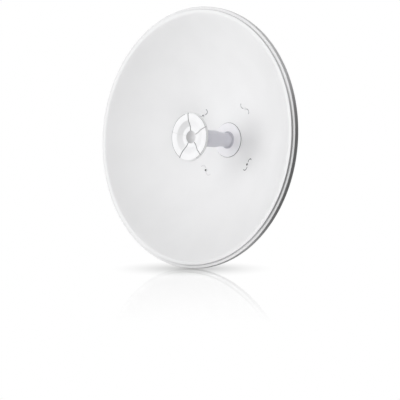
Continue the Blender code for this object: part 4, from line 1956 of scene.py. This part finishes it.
@dataclass
class MastClamp(Assembly):
    """One clamp behind the mast: a pressed channel with toothed jaws, bolts and nuts."""

    title: ClassVar[str] = "mast clamp"
    sizes: MountSizes
    level: Level
    web_y: float = 76
    half_w: float = 50
    half_h: float = 18
    tip_y: float = 46
    bolt_end: float = 98
    thread_from: float = 28

    def build(self) -> None:
        """Make the clamp, then fit its bolts and nuts."""
        sizes, word = self.sizes, self.level.word
        middle = self.level.value * sizes.clamp_z
        self.fit(f"clamp_{word}", self.clamp(), ZINC, moved(z=middle), f"mast_clamp_{word}")
        far = sizes.metal + GAP
        bolt = CarriageBolt(self.bolt_end + far, self.thread_from)
        for side in Side:
            tail, x = f"{word}_{side.word}", side.value * sizes.clamp_x
            head = moved(x, -far, middle) @ spun(90, "X")
            self.fit(f"long_bolt_{tail}", bolt.mesh(), BRIGHT_ZINC, head, f"clamp_bolt_{tail}")
            seat = moved(x, self.web_y + sizes.metal + GAP, middle)
            turned = seat @ spun(-90, "X") @ spun(15 + 20 * side.value, "Z")
            self.fit(f"flange_nut_{tail}", Nut().mesh(), BRIGHT_ZINC, turned,
                     f"clamp_nut_{tail}")

    def clamp(self) -> bpy.types.Mesh:
        """Make the channel, whose flanges are the jaws, on its wide web.

        Returns:
            The mesh, with the clamp's middle on height 0.
        """
        sizes, tip = self.sizes, self.tip_y
        thin, half, web = sizes.metal, self.half_h, self.web_y
        section = [
            (tip, half), (web + thin, half), (web + thin, -half), (tip, -half),
            (tip, thin - half), (web, thin - half), (web, half - thin), (tip, half - thin),
        ]
        bend, inner = sizes.bend, sizes.inner_bend
        channel = fillet(section, (0.5, bend, bend, 0.5, 0.5, inner, inner, 0.5))
        blank = Blank(plate([channel], -sizes.jaw_half, sizes.jaw_half, 0.4), AS_YZ)
        gap = [p for p in sizes.jaw(web, tip) if abs(p[0]) < sizes.jaw_half]
        mouth = [*gap, (gap[-1][0], tip - 4), (gap[0][0], tip - 4)]
        blank.punch(mouth, half + PAST)
        outline = box_outline((-self.half_w, -half), (self.half_w, half), 4)
        holes = [sizes.hole((side * sizes.clamp_x, 0)) for side in (-1, 1)]
        blank.join(plate([outline, *holes], -web - thin + 0.04, -web - 0.04, 0.5), AS_XZ)
        return blank.made()


@dataclass
class SideBolts(Assembly):
    """Pivot and tilt bolts through the ears and side plates, with their nuts."""

    title: ClassVar[str] = "side bolts"
    sizes: MountSizes
    tip: float = 5

    def build(self) -> None:
        """Fit the four bolts and nuts."""
        sizes, nut = self.sizes, Nut()
        bolt = CarriageBolt(2 * sizes.metal + GAP + nut.height + self.tip, 6)
        y, outer, inner = sizes.pivot[0], sizes.ear_x + GAP, sizes.side_x - sizes.metal - GAP
        for side in Side:
            sign, word = side.value, side.word
            for use, z in (("pivot", sizes.pivot[1]), ("tilt", sizes.tilt_z)):
                axis = moved(sign * outer, y, z) @ spun(sign * 90, "Y")
                self.fit(f"bolt_{use}_{word}", bolt.mesh(), BRIGHT_ZINC, axis,
                         f"{use}_bolt_{word}")
                seat = moved(sign * inner, y, z) @ spun(-sign * 90, "Y")
                turned = seat @ spun(10 + 25 * sign, "Z")
                self.fit(f"nut_{use}_{word}", nut.mesh(), BRIGHT_ZINC, turned,
                         f"{use}_nut_{word}")


# ---- studio


@dataclass(frozen=True)
class Viewpoint:
    """Camera that sees the dish as the photograph does; angles in degrees."""

    yaw: float = 42.28
    pitch: float = -4.93
    roll: float = -2.635
    distance: float = 4998
    focal_px: float = 2010.7
    centre_px: Point = (-2.49, -62.5)
    side_px: float = 400
    sensor: float = 36
    target_y: float = -203.4

    def axes(self) -> tuple[Vector, Vector, Vector]:
        """Find which way the camera looks.

        Returns:
            The world directions of image right, image down and forward.
        """
        turn = (spun(self.roll, "Z") @ spun(self.pitch, "X") @ spun(self.yaw, "Y")).to_3x3()
        facing, up, right = (
            turn @ Vector(way) for way in ((0, 0, -1), (0, -1, 0), (1, 0, 0))
        )
        return tuple(Vector((right[i], -facing[i], up[i])) for i in range(3))

    def place(self) -> Matrix:
        """Find where the camera stands.

        Returns:
            Its world matrix.
        """
        right, down, forward = self.axes()
        per_px = self.distance / self.focal_px
        reach = right * self.centre_px[0] * per_px + down * self.centre_px[1] * per_px
        spot = Vector((0, self.target_y, 0)) - reach - forward * self.distance
        turn = Matrix((right, -down, -forward)).transposed().to_4x4()
        return Matrix.Translation(spot * MM) @ turn

    def set_up(self) -> None:
        """Make the scene's camera."""
        lens = bpy.data.cameras.new("portrait")
        lens.sensor_width = self.sensor
        lens.lens = self.focal_px * self.sensor / self.side_px
        lens.clip_start, lens.clip_end = 0.1, 60
        camera = bpy.data.objects.new("portrait", lens)
        camera.matrix_world = self.place()
        bpy.context.scene.collection.objects.link(camera)
        bpy.context.scene.camera = camera


@dataclass(frozen=True)
class Glow:
    """One soft patch of the white room's light."""

    way: Point3
    strength: float
    tightness: float = 25.0

    def level(self, graph: Graph, at: Wire) -> Wire:
        """Return its light at a direction."""
        power = (at.dot(self.way) - 1.0) * self.tightness
        return graph.math("EXPONENT", power) * self.strength


@dataclass
class Studio:
    """White room: soft patches of light, and a floor that mirrors faintly."""

    view: Viewpoint
    lean: float = 1.5
    floor_half: float = 4000
    mirror: float = 0.35
    mirror_near: float = 1.55
    mirror_far: float = 0.4
    shadow: float = 0.53
    shadow_half: Point = (0.205, 0.34)
    glows: tuple[Glow, ...] = (
        Glow((-0.34, -0.93, 0.14), 3.78, 32.0),
        Glow((0.61, -0.73, -0.31), 3.06),
        Glow((-0.94, -0.17, -0.31), 2.05),
        Glow((-0.64, -0.76, 0.14), 3.3, 44.0),
        Glow((0.64, -0.76, 0.14), 1.71),
        Glow((0.0, -0.83, 0.56), 1.44),
        Glow((0.0, -0.99, 0.14), 0.71),
        Glow((0.53, -0.64, 0.56), 0.43),
        Glow((-0.37, 0.34, 0.86), 1.75, 4.0),
        Glow((-0.32, -0.39, -0.86), 0.69, 4.0),
        Glow((-0.12, -0.9, -0.41), 0.24, 4.0),
        Glow((0.15, 0.97, 0.2), 0.96, 8.0),
        Glow((-0.6, 0.78, 0.15), 0.64, 8.0),
    )

    def build(self) -> None:
        """Make the sky and the floor."""
        bpy.context.scene.view_settings.view_transform = "Standard"
        self.sky()
        self.floor()

    def sky(self) -> None:
        """White to the camera and where the floor mirrors it; the glows elsewhere."""
        world = bpy.data.worlds.new("sky")
        bpy.context.scene.world = world
        graph = Graph(world)
        at = graph.node("ShaderNodeTexCoord", out="Generated")
        level = self.glows[0].level(graph, at)
        for glow in self.glows[1:]:
            level = level + glow.level(graph, at)
        mirrored = at.dot(tuple(self.view.axes()[2])).step(0.9, 0.96)
        level = level * (1 - mirrored) + mirrored
        seen = graph.node("ShaderNodeLightPath", out="Is Camera Ray")
        given = {"Color": (1, 1, 1), "Strength": level * (1 - seen) + seen}
        graph.end(graph.node("ShaderNodeBackground", {}, given))

    def floor(self) -> None:
        """Lay the floor so that it touches the rim's lowest point."""
        right, down, forward = self.view.axes()
        lean = math.radians(self.lean)
        normal = -down * math.cos(lean) - forward * math.sin(lean)
        near = right.cross(normal).normalized()
        turns = np.linspace(0, 2 * math.pi, 721)
        rim_y = self.view.target_y
        rim = [Vector((RIM_R * math.cos(t), rim_y, RIM_R * math.sin(t))) for t in turns]
        touch = min(rim, key=normal.dot)
        mesh = bpy.data.meshes.new("floor")
        work = bmesh.new()
        bmesh.ops.create_grid(work, x_segments=12, y_segments=12, size=self.floor_half * MM)
        work.to_mesh(mesh)
        work.free()
        mesh.materials.append(self.floor_finish())
        ground = bpy.data.objects.new("floor", mesh)
        turn = Matrix((right, -near, normal)).transposed().to_4x4()
        ground.matrix_world = Matrix.Translation((touch - normal * 0.5) * MM) @ turn
        bpy.context.scene.collection.objects.link(ground)

    def floor_finish(self) -> bpy.types.Material:
        """Wire the floor: white to the eye, with a painted contact shadow and a fading mirror
        image.

        Returns:
            The material.
        """
        material = bpy.data.materials.new("pale_floor")
        graph = Graph(material)
        x, y, _ = graph.place().split()
        clear = graph.node("ShaderNodeBsdfTransparent")
        gloss = graph.node("ShaderNodeBsdfGlossy", {}, {"Color": (1, 1, 1), "Roughness": 0.01})
        above = 1 - graph.node("ShaderNodeNewGeometry", out="Backfacing")
        near, far = (-y).most(0.0) / self.mirror_near, y.most(0.0) / self.mirror_far
        shine = (1 - near - far).clamped() * above * self.mirror
        mirror = graph.node("ShaderNodeMixShader", {}, {0: shine, 1: clear, 2: gloss})
        # painted contact shadow, black and fading out from where the rim touches
        wide, deep = self.shadow_half
        spread = ((x / wide) ** 2.0 + (y / deep) ** 2.0) ** 0.5
        shade = (1 - spread).clamped() ** 1.6 * above * self.shadow
        dark = graph.node("ShaderNodeEmission", {}, {"Color": (0, 0, 0)})
        graph.end(graph.node("ShaderNodeMixShader", {}, {0: shade, 1: mirror, 2: dark}))
        return material


def main() -> None:
    """Build the groups in order, then the studio."""
    logging.basicConfig(level=logging.INFO, format="%(name)s %(message)s")
    dish, sizes = Dish(), MountSizes()
    groups: Sequence[Assembly] = (
        Bowl(dish),
        Feed(dish),
        FeedRear(dish),
        BowlScrews(dish),
        DishBracket(dish, sizes),
        MastBracket(sizes),
        *(MastClamp(sizes, level) for level in Level),
        SideBolts(sizes),
    )
    for group in groups:
        group.build()
    view = Viewpoint()
    view.set_up()
    Studio(view).build()


if __name__ == "__main__":
    main()
